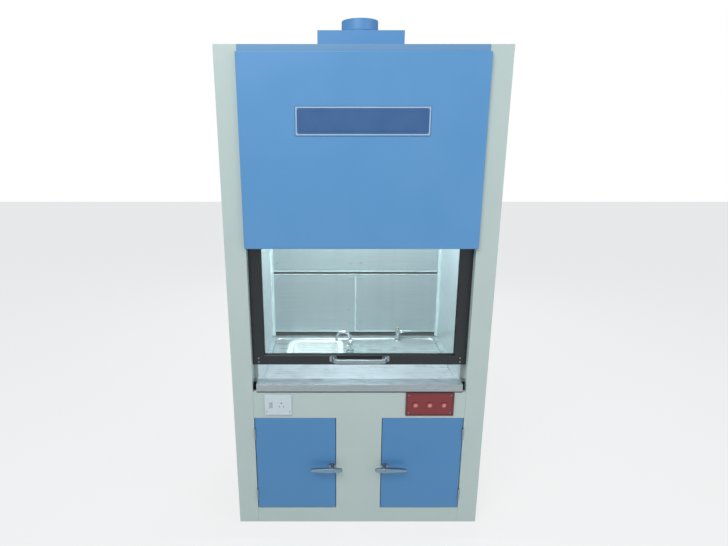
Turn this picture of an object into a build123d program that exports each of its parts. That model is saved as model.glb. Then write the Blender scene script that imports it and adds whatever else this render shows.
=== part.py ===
"""Free-standing laboratory fume hood: counterbalanced sash, dished worktop, sink, services, base cupboard.

Millimetres, +Z up, +X to the user's right, front facing -Y, origin at the bottom centre of the whole.
Depths are measured backwards from the front face of the two posts.
"""
from build123d import *
import math
import os

os.makedirs("parts", exist_ok=True)

# Overall body
body_width = 1200
body_depth = 750
body_height = 2250
panel_sheet = 2.0
liner_sheet = 1.5
seat_gap = 0.3
post_width = 95
rear_return = 30
rear_stub = 20
half_width = body_width / 2
opening_half = half_width - post_width
liner_inset = 20
liner_half_width = opening_half - liner_inset
panel_inner_x = half_width - panel_sheet

# Sash and its tracks
sash_z = 855
sash_height = 720
sash_front_depth = 36
sash_thickness = 28
sash_rise = 520
sash_drop = 80
stile_face = 72
bottom_rail_face = 47
top_rail_face = 40
frame_edge_chamfer = 3
stile_wall = 4
stile_hollow = 46
glass_thickness = 5
glass_groove_gap = 0.3
glass_bite = 8
track_engagement = 15
track_clearance = 0.5
track_sheet = 2.0
track_overrun = 25
sash_half_width = opening_half + track_engagement
sash_mid_depth = sash_front_depth + sash_thickness / 2
sash_back_depth = sash_front_depth + sash_thickness
track_front_depth = sash_front_depth - track_clearance - track_sheet
track_back_depth = sash_back_depth + track_clearance + track_sheet
window_half_width = sash_half_width - stile_face
window_bottom_z = sash_z + bottom_rail_face
window_top_z = sash_z + sash_height - top_rail_face
track_top_z = sash_z + sash_height + sash_rise + track_overrun

# Bow handle of the sash
sash_handle_length = 260
sash_handle_reach = 40
sash_handle_tall = 20
sash_handle_thick = 12
sash_handle_corner = 22
sash_handle_edge = 5
sash_handle_z = sash_z + 30
handle_foot_width = 34
handle_foot_tall = 28
handle_foot_thick = 3

# Worktop
worktop_z = 771
dish_drop = 12
lip_proud = 4
lip_tall = 37
lip_return = 14
lip_end_gap = 18
front_rim = 65
worktop_tuck = 15
worktop_back_depth = 680
dish_side_rim = 25
dish_back_depth = 590
dish_corner = 30
dish_floor_fillet = 5
lip_half_width = opening_half - lip_end_gap
worktop_half_width = liner_half_width + worktop_tuck
dish_half_width = liner_half_width - dish_side_rim
dish_z = worktop_z - dish_drop
dish_front_depth = front_rim - lip_proud
rim_under_z = worktop_z - liner_sheet
dish_under_z = dish_z - liner_sheet

# Sink
sink_side_margin = 79
sink_depth = 430
sink_rim_width = 310
sink_rim_length = 280
sink_rim_corner = 50
sink_width = 250
sink_length = 220
sink_corner = 45
sink_floor_width = 222
sink_floor_length = 192
sink_floor_corner = 34
sink_drop = 150
sink_floor_fillet = 18
sink_cutout_gap = 2
waste_hole_radius = 22
sink_floor_z = dish_z + liner_sheet - sink_drop
sink_x = sink_side_margin + sink_rim_width / 2 - dish_half_width

# Waste trap
strainer_radius = 33
strainer_thick = 2
strainer_hole_radius = 3.5
strainer_hole_ring = 13
strainer_hole_count = 6
tail_radius = 20
tail_wall = 2.5
tail_length = 48
tail_nut_radius = 28
tail_nut_tall = 14
trap_radius = 36
trap_height = 92
trap_wall = 3
trap_cap_radius = 39
trap_cap_tall = 16
waste_pipe_drop = 26
waste_collar_radius = 25
waste_collar_thick = 4

# Lining of the work chamber
liner_back_depth = 671.5
liner_front_flange = 43
liner_rear_flange = 35
ceiling_z = 2000
header_bottom_z = 1480
header_hem = 12
liner_front_depth = track_back_depth
liner_front_flange_x = liner_half_width + liner_front_flange
liner_rear_flange_x = liner_half_width + liner_rear_flange

# Baffles
baffle_depth = 600
baffle_side_gap = 15
baffle_bottom_z = 800
baffle_slot_z = 1150
baffle_slot = 12
baffle_seam = 4
baffle_return = 15
baffle_bend_z = 1690
baffle_top_depth = 250
baffle_top_gap = 25
bracket_width = 30
bracket_foot = 26
bracket_edge_inset = 14
bracket_seam_inset = 12
baffle_half_width = liner_half_width - baffle_side_gap

# Exhaust way
exhaust_depth = 375
throat_size = 190
throat_flange = 20
throat_above_roof = 2
plenum_width = 385
plenum_length = 260
plenum_height = 100
plenum_foot = 20
plenum_corner = 3
collar_radius = 85
collar_sheet = 1.5
collar_height = 60
collar_flange_radius = 105
collar_flange_thick = 2
collar_bore = collar_radius - collar_sheet

# Chamber lamp
lamp_depth = 150
lamp_length = 740
lamp_width = 100
lamp_height = 62
lamp_cutout_margin = 20
lamp_glass_margin = 8
lamp_glass_thick = 4
lamp_tube_radius = 13
lamp_tube_length = 590
lamp_tube_height = 34
lamp_holder_thick = 15
lamp_holder_width = 34
lamp_holder_foot = 14

# Roof and fascia
roof_front_flange = 28
roof_rear_flange = 25
fascia_lap = 5
fascia_proud = 18
fascia_bottom_z = 1425
fascia_edge_radius = 3
fascia_half_width = opening_half + fascia_lap
fascia_top_z = body_height - roof_front_flange
roof_under_z = body_height - panel_sheet

# Plate on the fascia
badge_width = 555
badge_height = 117
badge_mid_z = 1957
badge_thick = 2
badge_inner_width = 516
badge_inner_height = 76
badge_inner_thick = 1.5
badge_corner = 3

# Cables, pulleys and counterweight
cable_radius = 1.5
cable_inset = 15
cable_gap = 0.3
pulley_pitch_radius = 30
pulley_flange_radius = 34
pulley_thick = 12
pulley_groove_floor = 4
pulley_groove_mouth = 9
pulley_hub_radius = 11
pulley_hub_thick = 18
pulley_drop = 53
pulley_z = roof_under_z - pulley_drop
shaft_radius = 6
shaft_fit_gap = 0.05
shaft_key_gap = 0.02
shaft_overhang = 4
shaft_bracket_thick = 3
shaft_bracket_width = 40
shaft_bracket_below = 20
shaft_bracket_foot = 24
shaft_bracket_gap = 1
ferrule_radius = 4
ferrule_height = 14
lug_width = 18
lug_thick = 12
lug_height = 12
counterweight_overhang = 10
counterweight_thick = 22
counterweight_height = 101
counterweight_top_z = 1785
rear_cable_depth = 712
cable_x = opening_half - cable_inset
counterweight_width = 2 * (cable_x + counterweight_overhang)
front_pulley_depth = sash_mid_depth + pulley_pitch_radius
rear_pulley_depth = rear_cable_depth - pulley_pitch_radius
shaft_bracket_x = cable_x + pulley_hub_thick / 2 + shaft_bracket_gap

# Base
rail_top_z = 731
door_top_z = 593
door_bottom_z = 84
mullion_half_width = 110
frame_flange = 20
runner_width = 58
runner_height = 82
bearer_width = 132
bearer_lip = 22
bearer_leg = 62
cross_bearer_depth = 14
cross_bearer_width = 32
rear_joint_z = 768
rear_joint_gap = 1

# Doors
door_gap = 2
door_hinge_gap = 3.4
door_free_gap = 3
door_thick = 20
door_sheet = 1.5
door_edge_radius = 2.5
pan_flange = 10
pan_press = 3
pan_press_margin = 34
pan_press_corner = 12

# Door hinges
hinge_heights = (168, 508)
knuckle_radius = 4
knuckle_length = 20
knuckle_gap = 0.3
knuckle_proud = 0.3
hinge_pin_radius = 2.2
hinge_pin_fit = 0.05
hinge_pin_set = 0.02
hinge_leaf_thick = 1.2
frame_leaf_width = 24
door_leaf_width = 16

# Lever latches of the doors
lever_z = 328
lever_hub_inset = 15
lever_outer_reach = 106
lever_inner_reach = 48
lever_standoff = 30
lever_thick = 12
lever_hub_radius = 13
lever_outer_radius = 7
lever_inner_radius = 9
lever_edge = 2.5
latch_neck_radius = 8
latch_spindle_radius = 5
latch_fit_gap = 0.06
rose_radius = 18
rose_thick = 5
tongue_length = 42
tongue_width = 16
tongue_thick = 3
tongue_gap = 1.5
catch_inset = 37
catch_width = 46
catch_height = 16
catch_length = 14
catch_foot = 14
catch_foot_thick = 2
strike_width = 36
strike_height = 12
strike_thick = 1.0
lever_reach = lever_standoff + lever_thick
door_inner_x = mullion_half_width + door_free_gap
lever_hub_x = door_inner_x + lever_hub_inset
lever_outer_end_x = lever_hub_x + lever_outer_reach
lever_inner_end_x = lever_hub_x - lever_inner_reach
catch_x = door_inner_x + catch_inset

# Control plate and its buttons
plate_end_margin = 54
plate_mid_z = 668
plate_width = 230
plate_height = 122
plate_thick = 3
plate_border = 8
plate_border_proud = 1.5
plate_corner = 4
button_pitch = 68
button_count = 3
button_z = 662
button_radius = 11
button_fit_gap = 0.08
button_travel = 4
button_proud = 2.5
button_length = 16
button_dome = 1.5
bezel_radius = 15
bezel_thick = 2.5
bezel_wall = 1.3
bezel_length = 19
stem_radius = 3
stem_length = 16
switch_block_size = 28
switch_block_length = 24
rail_box_width = 200
rail_box_height = 96
rail_box_depth = 60
rail_box_margin = 9
plate_x = opening_half - plate_end_margin - plate_width / 2

# Socket plate and its rocker
socket_end_margin = 55
socket_mid_z = 665.5
socket_width = 128
socket_height = 103
socket_thick = 9
socket_corner = 5
socket_edge = 2
rocker_offset = -34
rocker_width = 16
rocker_radius = 15
rocker_pivot_inset = 3
rocker_front = 6.6
rocker_back = 5
rocker_tilt = 12
rocker_side_gap = 0.3
rocker_end_gap = 0.4
trunnion_radius = 2
trunnion_length = 2.5
trunnion_hole_depth = 3
trunnion_fit_gap = 0.06
outlet_offset = 16
outlet_radius = 25
outlet_proud = 1
outlet_recess = 2.2
earth_hole_radius = 3.8
earth_hole_up = 11
line_hole_radius = 3
line_hole_down = 8
line_hole_spread = 10
socket_box_width = 110
socket_box_height = 84
socket_box_depth = 45
socket_x = socket_end_margin + socket_width / 2 - opening_half

# Tap and water pipe
tap_beside_sink = 38
tap_depth = 412
tap_base_radius = 22
tap_base_thick = 7
tap_column_radius = 10
tap_column_height = 76
tap_boss_radius = 11
tap_boss_height = 44
tap_boss_length = 24
tap_spindle_radius = 4
tap_spindle_length = 13
tap_spout_radius = 7
tap_spout_bend = 38
tap_spout_drop = 16
tap_nozzle_radius = 9
tap_nozzle_length = 12
tap_tail_radius = 8
tap_tail_length = 24
handle_fit_gap = 0.06
tap_handle_hub = 9
tap_handle_thick = 11
tap_handle_reach = 23
tap_lobe_radius = 5.5
tap_lobe_count = 4
pipe_radius = 7.5
pipe_bend = 32
water_pipe_z = 690
water_tail_radius = 10.48
pipe_tail_collar = 4
pipe_collar_radius = 14
pipe_hole_gap = 0.5
tap_x = sink_x + sink_rim_width / 2 + tap_beside_sink

# Gas cock and gas pipe
gas_side_margin = 214
gas_depth = 566
gas_base_radius = 19
gas_base_thick = 6
gas_column_radius = 8
gas_nozzle_height = 56
gas_body_radius = 14
gas_neck_length = 22
gas_neck_radius = 7
gas_barb_count = 6
gas_barb_pitch = 7
gas_barb_large = 6
gas_barb_small = 4.6
gas_spindle_radius = 3.5
gas_spindle_length = 9
gas_lever_hub = 8
gas_lever_thick = 7
gas_lever_length = 48
gas_lever_width = 9
gas_pipe_z = 655
gas_tail_radius = 8.33
gas_x = dish_half_width - gas_side_margin

# Cable gland
gland_inset = 105
gland_z = 650
gland_bore = 4
gland_radius = 9
gland_nut_radius = 13
gland_nut_thick = 8
gland_inner_length = 10
gland_x = opening_half - gland_inset

# Screws of the rear panels
screw_head_radius = 5
screw_head_height = 2.5
screw_edge = 17
upper_screw_rows = 6
lower_screw_rows = 4
screw_end_inset = 60

# Every y is worked out from the posts' front face, with the whole centred about the origin
front_y = (lever_reach - body_depth - rear_stub) / 2


def depth(distance):
    """Y of a point that lies this far behind the posts' front face."""
    return front_y + distance


def level(z):
    """Horizontal plane at this height."""
    return Plane.XY.offset(z)


def upright(distance):
    """Plane across the hood at this depth, seen from the front; it extrudes towards the user."""
    return Plane.XZ.offset(-depth(distance))


def across(x):
    """Plane from front to back at this x, local X running backwards; it extrudes towards +X."""
    return Plane.YZ.offset(x)


def folded_sheet(corners, thickness, side):
    """Section of a folded sheet, from its inner skin thickened outwards with rounded bends."""
    with BuildSketch(Plane.XY, mode=Mode.PRIVATE) as section:
        with BuildLine():
            Polyline(*corners)
            offset(amount=thickness, side=side, kind=Kind.ARC)
        make_face()
    return section.sketch


def slab(x_low, x_high, near, far):
    """Rectangle in plan between two x values and two depths."""
    with BuildSketch(Plane.XY, mode=Mode.PRIVATE) as outline:
        with Locations(((x_low + x_high) / 2, depth((near + far) / 2))):
            Rectangle(x_high - x_low, far - near)
    return outline.sketch


# Side panels, each one folded sheet with the front post, its inner return and a rear return
with BuildPart() as right_side_panel:
    with BuildSketch(Plane.XY):
        add(folded_sheet([
            (opening_half + panel_sheet, depth(track_front_depth)),
            (opening_half + panel_sheet, depth(panel_sheet)),
            (panel_inner_x, depth(panel_sheet)),
            (panel_inner_x, depth(body_depth - 2 * panel_sheet)),
            (panel_inner_x - rear_return, depth(body_depth - 2 * panel_sheet)),
        ], panel_sheet, Side.RIGHT))
    extrude(amount=body_height)
right_side_panel.part.label = "right_side_panel"
export_step(right_side_panel.part, "parts/right_side_panel.step")

with BuildPart() as left_side_panel:
    mirror(right_side_panel.part, about=Plane.YZ)
left_side_panel.part.label = "left_side_panel"
export_step(left_side_panel.part, "parts/left_side_panel.step")

# Rear panels, an upper and a lower sheet over the rear returns, the lower one with the service holes
waste_pipe_z = sink_floor_z - tail_length - waste_pipe_drop
rear_holes = (
    (tap_x, water_pipe_z, pipe_radius + pipe_hole_gap),
    (gas_x, gas_pipe_z, pipe_radius + pipe_hole_gap),
    (sink_x, waste_pipe_z, tail_radius + pipe_hole_gap),
    (gland_x, gland_z, gland_radius + pipe_hole_gap),
)
with BuildPart() as rear_panels:
    with BuildSketch(level(0)):
        add(slab(-half_width, half_width, body_depth - panel_sheet, body_depth))
    extrude(amount=rear_joint_z)
    with BuildSketch(level(rear_joint_z + rear_joint_gap)):
        add(slab(-half_width, half_width, body_depth - panel_sheet, body_depth))
    extrude(amount=body_height - rear_joint_z - rear_joint_gap)
    with BuildSketch(upright(body_depth)):
        for hole_x, hole_z, hole_radius in rear_holes:
            with Locations((hole_x, hole_z)):
                Circle(hole_radius)
    extrude(amount=panel_sheet, mode=Mode.SUBTRACT)
rear_panels.part.label = "rear_panels"
export_step(rear_panels.part, "parts/rear_panels.step")

# Roof sheet between the side panels, with a tongue over each post and a flange above the fascia
roof_side_x = panel_inner_x - seat_gap
roof_back_depth = body_depth - 2 * panel_sheet - seat_gap
post_top_inner_x = opening_half + panel_sheet + seat_gap
with BuildPart() as roof_panel:
    with BuildSketch(level(roof_under_z)):
        add(slab(-roof_side_x, roof_side_x, track_front_depth + seat_gap, roof_back_depth))
        add(slab(-opening_half + seat_gap, opening_half - seat_gap, 0, track_back_depth))
        add(slab(post_top_inner_x, roof_side_x, panel_sheet + seat_gap, track_back_depth))
        add(slab(-roof_side_x, -post_top_inner_x, panel_sheet + seat_gap, track_back_depth))
        with Locations((0, depth(exhaust_depth))):
            Rectangle(throat_size + 1, throat_size + 1, mode=Mode.SUBTRACT)
    extrude(amount=panel_sheet)
    with BuildSketch(level(body_height - roof_front_flange)):
        add(slab(-opening_half + seat_gap, opening_half - seat_gap, 0, panel_sheet))
    extrude(amount=roof_front_flange)
    with BuildSketch(level(body_height - roof_rear_flange)):
        add(slab(-roof_side_x, roof_side_x, roof_back_depth - panel_sheet, roof_back_depth))
    extrude(amount=roof_rear_flange)
roof_panel.part.label = "roof_panel"
export_step(roof_panel.part, "parts/roof_panel.step")

# Fascia, a tray with its four edges folded back onto the posts
with BuildPart() as fascia_panel:
    with BuildSketch(upright(0)):
        with Locations((0, (fascia_top_z + fascia_bottom_z) / 2)):
            Rectangle(2 * fascia_half_width, fascia_top_z - fascia_bottom_z)
    extrude(amount=fascia_proud)
    fillet(fascia_panel.faces().sort_by(Axis.Y)[0].edges(), radius=fascia_edge_radius)
    offset(amount=-panel_sheet, openings=fascia_panel.faces().sort_by(Axis.Y)[-1])
fascia_panel.part.label = "fascia_panel"
export_step(fascia_panel.part, "parts/fascia_panel.step")

# Bare plate on the fascia, with a raised inner field
with BuildPart() as fascia_plate:
    with BuildSketch(upright(-fascia_proud)):
        with Locations((0, badge_mid_z)):
            RectangleRounded(badge_width, badge_height, badge_corner)
    extrude(amount=badge_thick)
    with BuildSketch(upright(-fascia_proud - badge_thick)):
        with Locations((0, badge_mid_z)):
            RectangleRounded(badge_inner_width, badge_inner_height, badge_corner)
    extrude(amount=badge_inner_thick)
fascia_plate.part.label = "fascia_plate"
export_step(fascia_plate.part, "parts/fascia_plate.step")

# Front frame of the base: control rail, middle post and plinth from one sheet with folded edges
rail_box_mid_z = plate_mid_z
with BuildPart() as base_front_frame:
    frame_half_width = opening_half - seat_gap
    with BuildSketch(upright(frame_flange)):
        with Locations((0, (rail_top_z + door_top_z) / 2)):
            Rectangle(2 * frame_half_width, rail_top_z - door_top_z)
        with Locations((0, rail_top_z / 2)):
            Rectangle(2 * mullion_half_width, rail_top_z)
        with Locations((0, door_bottom_z / 2)):
            Rectangle(2 * frame_half_width, door_bottom_z)
    extrude(amount=frame_flange)
    offset(amount=-panel_sheet, openings=base_front_frame.faces().sort_by(Axis.Y)[-1])
    with BuildSketch(upright(panel_sheet)):
        with Locations((plate_x, rail_box_mid_z)):
            Rectangle(rail_box_width - 2 * rail_box_margin, rail_box_height - 2 * rail_box_margin)
        with Locations((socket_x, socket_mid_z)):
            Rectangle(socket_box_width - 2 * rail_box_margin, socket_box_height - 2 * rail_box_margin)
    extrude(amount=panel_sheet, mode=Mode.SUBTRACT)
base_front_frame.part.label = "base_front_frame"
export_step(base_front_frame.part, "parts/base_front_frame.step")

# Base runners, a folded channel along each side on the floor
runner_inner_x = panel_inner_x - seat_gap - runner_width
with BuildPart() as base_runners:
    with BuildSketch(upright(roof_back_depth)):
        add(folded_sheet([
            (runner_inner_x, panel_sheet),
            (panel_inner_x - seat_gap - panel_sheet, panel_sheet),
            (panel_inner_x - seat_gap - panel_sheet, runner_height - panel_sheet),
            (runner_inner_x, runner_height - panel_sheet),
        ], panel_sheet, Side.RIGHT))
    extrude(amount=roof_back_depth - panel_sheet - seat_gap)
    mirror(about=Plane.YZ)
base_runners.part.label = "base_runners"
export_step(base_runners.part, "parts/base_runners.step")

# Cupboard floor on the runners, notched round the posts
with BuildPart() as base_floor:
    with BuildSketch(level(runner_height)):
        add(slab(-roof_side_x, roof_side_x, track_front_depth + seat_gap, roof_back_depth))
        add(slab(-opening_half + seat_gap, opening_half - seat_gap, frame_flange + seat_gap, track_back_depth))
    extrude(amount=panel_sheet)
base_floor.part.label = "base_floor"
export_step(base_floor.part, "parts/base_floor.step")

# Worktop bearers: a folded ledge along each side and a channel across the front
bearer_outer_x = panel_inner_x - seat_gap - panel_sheet
bearer_inner_x = bearer_outer_x - bearer_width + 2 * panel_sheet
bearer_under_z = rim_under_z - panel_sheet
with BuildPart() as worktop_bearers:
    with BuildSketch(upright(roof_back_depth)):
        add(folded_sheet([
            (bearer_inner_x, bearer_under_z - bearer_lip),
            (bearer_inner_x, bearer_under_z),
            (bearer_outer_x, bearer_under_z),
            (bearer_outer_x, bearer_under_z - bearer_leg),
        ], panel_sheet, Side.LEFT))
    extrude(amount=roof_back_depth - track_front_depth - seat_gap)
    mirror(about=Plane.YZ)
    with BuildSketch(across(-bearer_inner_x + panel_sheet + seat_gap)):
        add(folded_sheet([
            (depth(cross_bearer_depth + cross_bearer_width), rail_top_z + panel_sheet),
            (depth(cross_bearer_depth + panel_sheet), rail_top_z + panel_sheet),
            (depth(cross_bearer_depth + panel_sheet), bearer_under_z),
            (depth(cross_bearer_depth + cross_bearer_width), bearer_under_z),
        ], panel_sheet, Side.LEFT))
    extrude(amount=2 * (bearer_inner_x - panel_sheet - seat_gap))
worktop_bearers.part.label = "worktop_bearers"
export_step(worktop_bearers.part, "parts/worktop_bearers.step")

# Worktop: folded front lip, flat rim, dish with rounded corners, cut-outs for sink, tap and gas cock
dish_mid_depth = (dish_front_depth + dish_back_depth) / 2
dish_length = dish_back_depth - dish_front_depth
with BuildPart() as worktop:
    with BuildSketch(across(-lip_half_width)):
        add(folded_sheet([
            (depth(lip_return - lip_proud), worktop_z - lip_tall + liner_sheet),
            (depth(liner_sheet - lip_proud), worktop_z - lip_tall + liner_sheet),
            (depth(liner_sheet - lip_proud), rim_under_z),
            (depth(liner_front_depth), rim_under_z),
        ], liner_sheet, Side.LEFT))
    extrude(amount=2 * lip_half_width)
    with BuildSketch(level(rim_under_z)):
        add(slab(-worktop_half_width, worktop_half_width, liner_front_depth, worktop_back_depth))
    extrude(amount=liner_sheet)
    with BuildSketch(level(dish_under_z)):
        with Locations((0, depth(dish_mid_depth))):
            RectangleRounded(
                2 * (dish_half_width + liner_sheet), dish_length + 2 * liner_sheet, dish_corner + liner_sheet
            )
    extrude(amount=dish_drop)
    with BuildSketch(level(dish_z)):
        with Locations((0, depth(dish_mid_depth))):
            RectangleRounded(2 * dish_half_width, dish_length, dish_corner)
    extrude(amount=dish_drop, mode=Mode.SUBTRACT)
    flat_faces = worktop.faces().filter_by(Plane.XY)
    dish_underside = flat_faces.filter_by_position(Axis.Z, dish_under_z, dish_under_z)
    fillet(dish_underside.edges(), radius=dish_floor_fillet + liner_sheet)
    flat_faces = worktop.faces().filter_by(Plane.XY)
    dish_floor = flat_faces.filter_by_position(Axis.Z, dish_z, dish_z)
    fillet(dish_floor.edges(), radius=dish_floor_fillet)
    with BuildSketch(level(dish_under_z)):
        with Locations((sink_x, depth(sink_depth))):
            RectangleRounded(
                sink_width + 2 * liner_sheet + sink_cutout_gap,
                sink_length + 2 * liner_sheet + sink_cutout_gap,
                sink_corner + liner_sheet,
            )
        with Locations((tap_x, depth(tap_depth)), (gas_x, depth(gas_depth))):
            Circle(tap_tail_radius + pipe_hole_gap)
    extrude(amount=liner_sheet, mode=Mode.SUBTRACT)
worktop.part.label = "worktop"
export_step(worktop.part, "parts/worktop.step")

# Sink bowl: a flat rim on the dish floor and a tapered bowl with rounded corners
with BuildPart() as sink_bowl:
    with BuildSketch(level(dish_z)):
        with Locations((sink_x, depth(sink_depth))):
            RectangleRounded(sink_rim_width, sink_rim_length, sink_rim_corner)
    extrude(amount=liner_sheet)
    with BuildSketch(level(dish_z + liner_sheet)):
        with Locations((sink_x, depth(sink_depth))):
            RectangleRounded(
                sink_width + 2 * liner_sheet, sink_length + 2 * liner_sheet, sink_corner + liner_sheet
            )
    with BuildSketch(level(sink_floor_z - liner_sheet)):
        with Locations((sink_x, depth(sink_depth))):
            RectangleRounded(
                sink_floor_width + 2 * liner_sheet,
                sink_floor_length + 2 * liner_sheet,
                sink_floor_corner + liner_sheet,
            )
    loft()
    fillet(sink_bowl.faces().sort_by(Axis.Z)[0].edges(), radius=sink_floor_fillet + liner_sheet)

with BuildPart() as sink_hollow:
    with BuildSketch(level(dish_z + liner_sheet)):
        with Locations((sink_x, depth(sink_depth))):
            RectangleRounded(sink_width, sink_length, sink_corner)
    with BuildSketch(level(sink_floor_z)):
        with Locations((sink_x, depth(sink_depth))):
            RectangleRounded(sink_floor_width, sink_floor_length, sink_floor_corner)
    loft()
    fillet(sink_hollow.faces().sort_by(Axis.Z)[0].edges(), radius=sink_floor_fillet)

with sink_bowl:
    add(sink_hollow.part, mode=Mode.SUBTRACT)
    with Locations((sink_x, depth(sink_depth), sink_floor_z)):
        Hole(waste_hole_radius, depth=2 * liner_sheet)
sink_bowl.part.label = "sink_bowl"
export_step(sink_bowl.part, "parts/sink_bowl.step")

# Waste: strainer with its tail and nut, bottle trap and the pipe that leaves through the rear panel
sink_under_z = sink_floor_z - liner_sheet
trap_top_z = sink_under_z - tail_length
waste_end_depth = body_depth + rear_stub
with BuildPart() as sink_trap:
    with BuildSketch(level(sink_floor_z)):
        with Locations((sink_x, depth(sink_depth))):
            Circle(strainer_radius)
            with PolarLocations(strainer_hole_ring, strainer_hole_count):
                Circle(strainer_hole_radius, mode=Mode.SUBTRACT)
    extrude(amount=strainer_thick)
    with BuildSketch(level(trap_top_z)):
        with Locations((sink_x, depth(sink_depth))):
            Circle(tail_radius)
            Circle(tail_radius - tail_wall, mode=Mode.SUBTRACT)
    extrude(amount=sink_floor_z - trap_top_z)
    with BuildSketch(level(sink_under_z - tail_nut_tall)):
        with Locations((sink_x, depth(sink_depth))):
            RegularPolygon(tail_nut_radius, 6)
            Circle(tail_radius, mode=Mode.SUBTRACT)
    extrude(amount=tail_nut_tall)
    with BuildSketch(level(trap_top_z - trap_height)):
        with Locations((sink_x, depth(sink_depth))):
            Circle(trap_radius)
    extrude(amount=trap_height)
    with BuildSketch(level(trap_top_z - trap_height)):
        with Locations((sink_x, depth(sink_depth))):
            Circle(trap_cap_radius)
    extrude(amount=trap_cap_tall)
    with BuildSketch(upright(waste_end_depth)):
        with Locations((sink_x, waste_pipe_z)):
            Circle(tail_radius)
    extrude(amount=waste_end_depth - sink_depth)
    with BuildSketch(upright(body_depth + waste_collar_thick)):
        with Locations((sink_x, waste_pipe_z)):
            Circle(waste_collar_radius)
    extrude(amount=waste_collar_thick)
    with BuildSketch(level(trap_top_z - trap_height + trap_wall)):
        with Locations((sink_x, depth(sink_depth))):
            Circle(trap_radius - trap_wall)
    extrude(amount=trap_height - 2 * trap_wall, mode=Mode.SUBTRACT)
    with BuildSketch(level(trap_top_z - trap_wall)):
        with Locations((sink_x, depth(sink_depth))):
            Circle(tail_radius - tail_wall)
    extrude(amount=trap_wall, mode=Mode.SUBTRACT)
    with BuildSketch(upright(waste_end_depth)):
        with Locations((sink_x, waste_pipe_z)):
            Circle(tail_radius - tail_wall)
    extrude(amount=waste_end_depth - sink_depth, mode=Mode.SUBTRACT)
sink_trap.part.label = "sink_trap"
export_step(sink_trap.part, "parts/sink_trap.step")

# Side linings with a flange behind the sash track and one for the back lining
with BuildPart() as right_liner:
    with BuildSketch(level(worktop_z)):
        add(folded_sheet([
            (liner_front_flange_x, depth(liner_front_depth + liner_sheet)),
            (liner_half_width + liner_sheet, depth(liner_front_depth + liner_sheet)),
            (liner_half_width + liner_sheet, depth(liner_back_depth - liner_sheet)),
            (liner_rear_flange_x, depth(liner_back_depth - liner_sheet)),
        ], liner_sheet, Side.LEFT))
    extrude(amount=ceiling_z + liner_sheet - worktop_z)
right_liner.part.label = "right_liner"
export_step(right_liner.part, "parts/right_liner.step")

with BuildPart() as left_liner:
    mirror(right_liner.part, about=Plane.YZ)
left_liner.part.label = "left_liner"
export_step(left_liner.part, "parts/left_liner.step")

with BuildPart() as back_liner:
    with BuildSketch(level(worktop_z)):
        add(slab(-liner_rear_flange_x, liner_rear_flange_x, liner_back_depth, liner_back_depth + liner_sheet))
    extrude(amount=ceiling_z + liner_sheet - worktop_z)
back_liner.part.label = "back_liner"
export_step(back_liner.part, "parts/back_liner.step")

# Ceiling lining folded down behind the fascia, with the lamp window and the exhaust opening
ceiling_half_width = liner_half_width - seat_gap
lamp_cutout_length = lamp_length - 2 * lamp_cutout_margin
lamp_cutout_width = lamp_width - lamp_cutout_margin
with BuildPart() as ceiling_liner:
    with BuildSketch(across(-ceiling_half_width)):
        add(folded_sheet([
            (depth(liner_front_depth + liner_sheet + header_hem), header_bottom_z + liner_sheet),
            (depth(liner_front_depth + liner_sheet), header_bottom_z + liner_sheet),
            (depth(liner_front_depth + liner_sheet), ceiling_z),
            (depth(liner_back_depth - seat_gap), ceiling_z),
        ], liner_sheet, Side.LEFT))
    extrude(amount=2 * ceiling_half_width)
    with BuildSketch(level(ceiling_z)):
        with Locations((0, depth(lamp_depth))):
            Rectangle(lamp_cutout_length, lamp_cutout_width)
        with Locations((0, depth(exhaust_depth))):
            Rectangle(throat_size - 2 * liner_sheet, throat_size - 2 * liner_sheet)
    extrude(amount=liner_sheet, mode=Mode.SUBTRACT)
ceiling_liner.part.label = "ceiling_liner"
export_step(ceiling_liner.part, "parts/ceiling_liner.step")

# Lower baffles, two halves with a seam between them and folded top and bottom edges
with BuildPart() as lower_baffles:
    with BuildSketch(across(baffle_seam / 2)):
        add(folded_sheet([
            (depth(baffle_depth + liner_sheet + baffle_return), baffle_bottom_z + liner_sheet),
            (depth(baffle_depth + liner_sheet), baffle_bottom_z + liner_sheet),
            (depth(baffle_depth + liner_sheet), baffle_slot_z - liner_sheet),
            (depth(baffle_depth + liner_sheet + baffle_return), baffle_slot_z - liner_sheet),
        ], liner_sheet, Side.LEFT))
    extrude(amount=baffle_half_width - baffle_seam / 2)
    mirror(about=Plane.YZ)
lower_baffles.part.label = "lower_baffles"
export_step(lower_baffles.part, "parts/lower_baffles.step")

# Upper baffle, upright above the slot and then leaning forward under the exhaust opening
upper_baffle_z = baffle_slot_z + baffle_slot
baffle_top_z = ceiling_z - baffle_top_gap
with BuildPart() as upper_baffle:
    with BuildSketch(across(-baffle_half_width)):
        add(folded_sheet([
            (depth(baffle_depth + liner_sheet + baffle_return), upper_baffle_z + liner_sheet),
            (depth(baffle_depth + liner_sheet), upper_baffle_z + liner_sheet),
            (depth(baffle_depth + liner_sheet), baffle_bend_z),
            (depth(baffle_top_depth), baffle_top_z),
        ], liner_sheet, Side.LEFT))
    extrude(amount=2 * baffle_half_width)
upper_baffle.part.label = "upper_baffle"
export_step(upper_baffle.part, "parts/upper_baffle.step")

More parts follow.
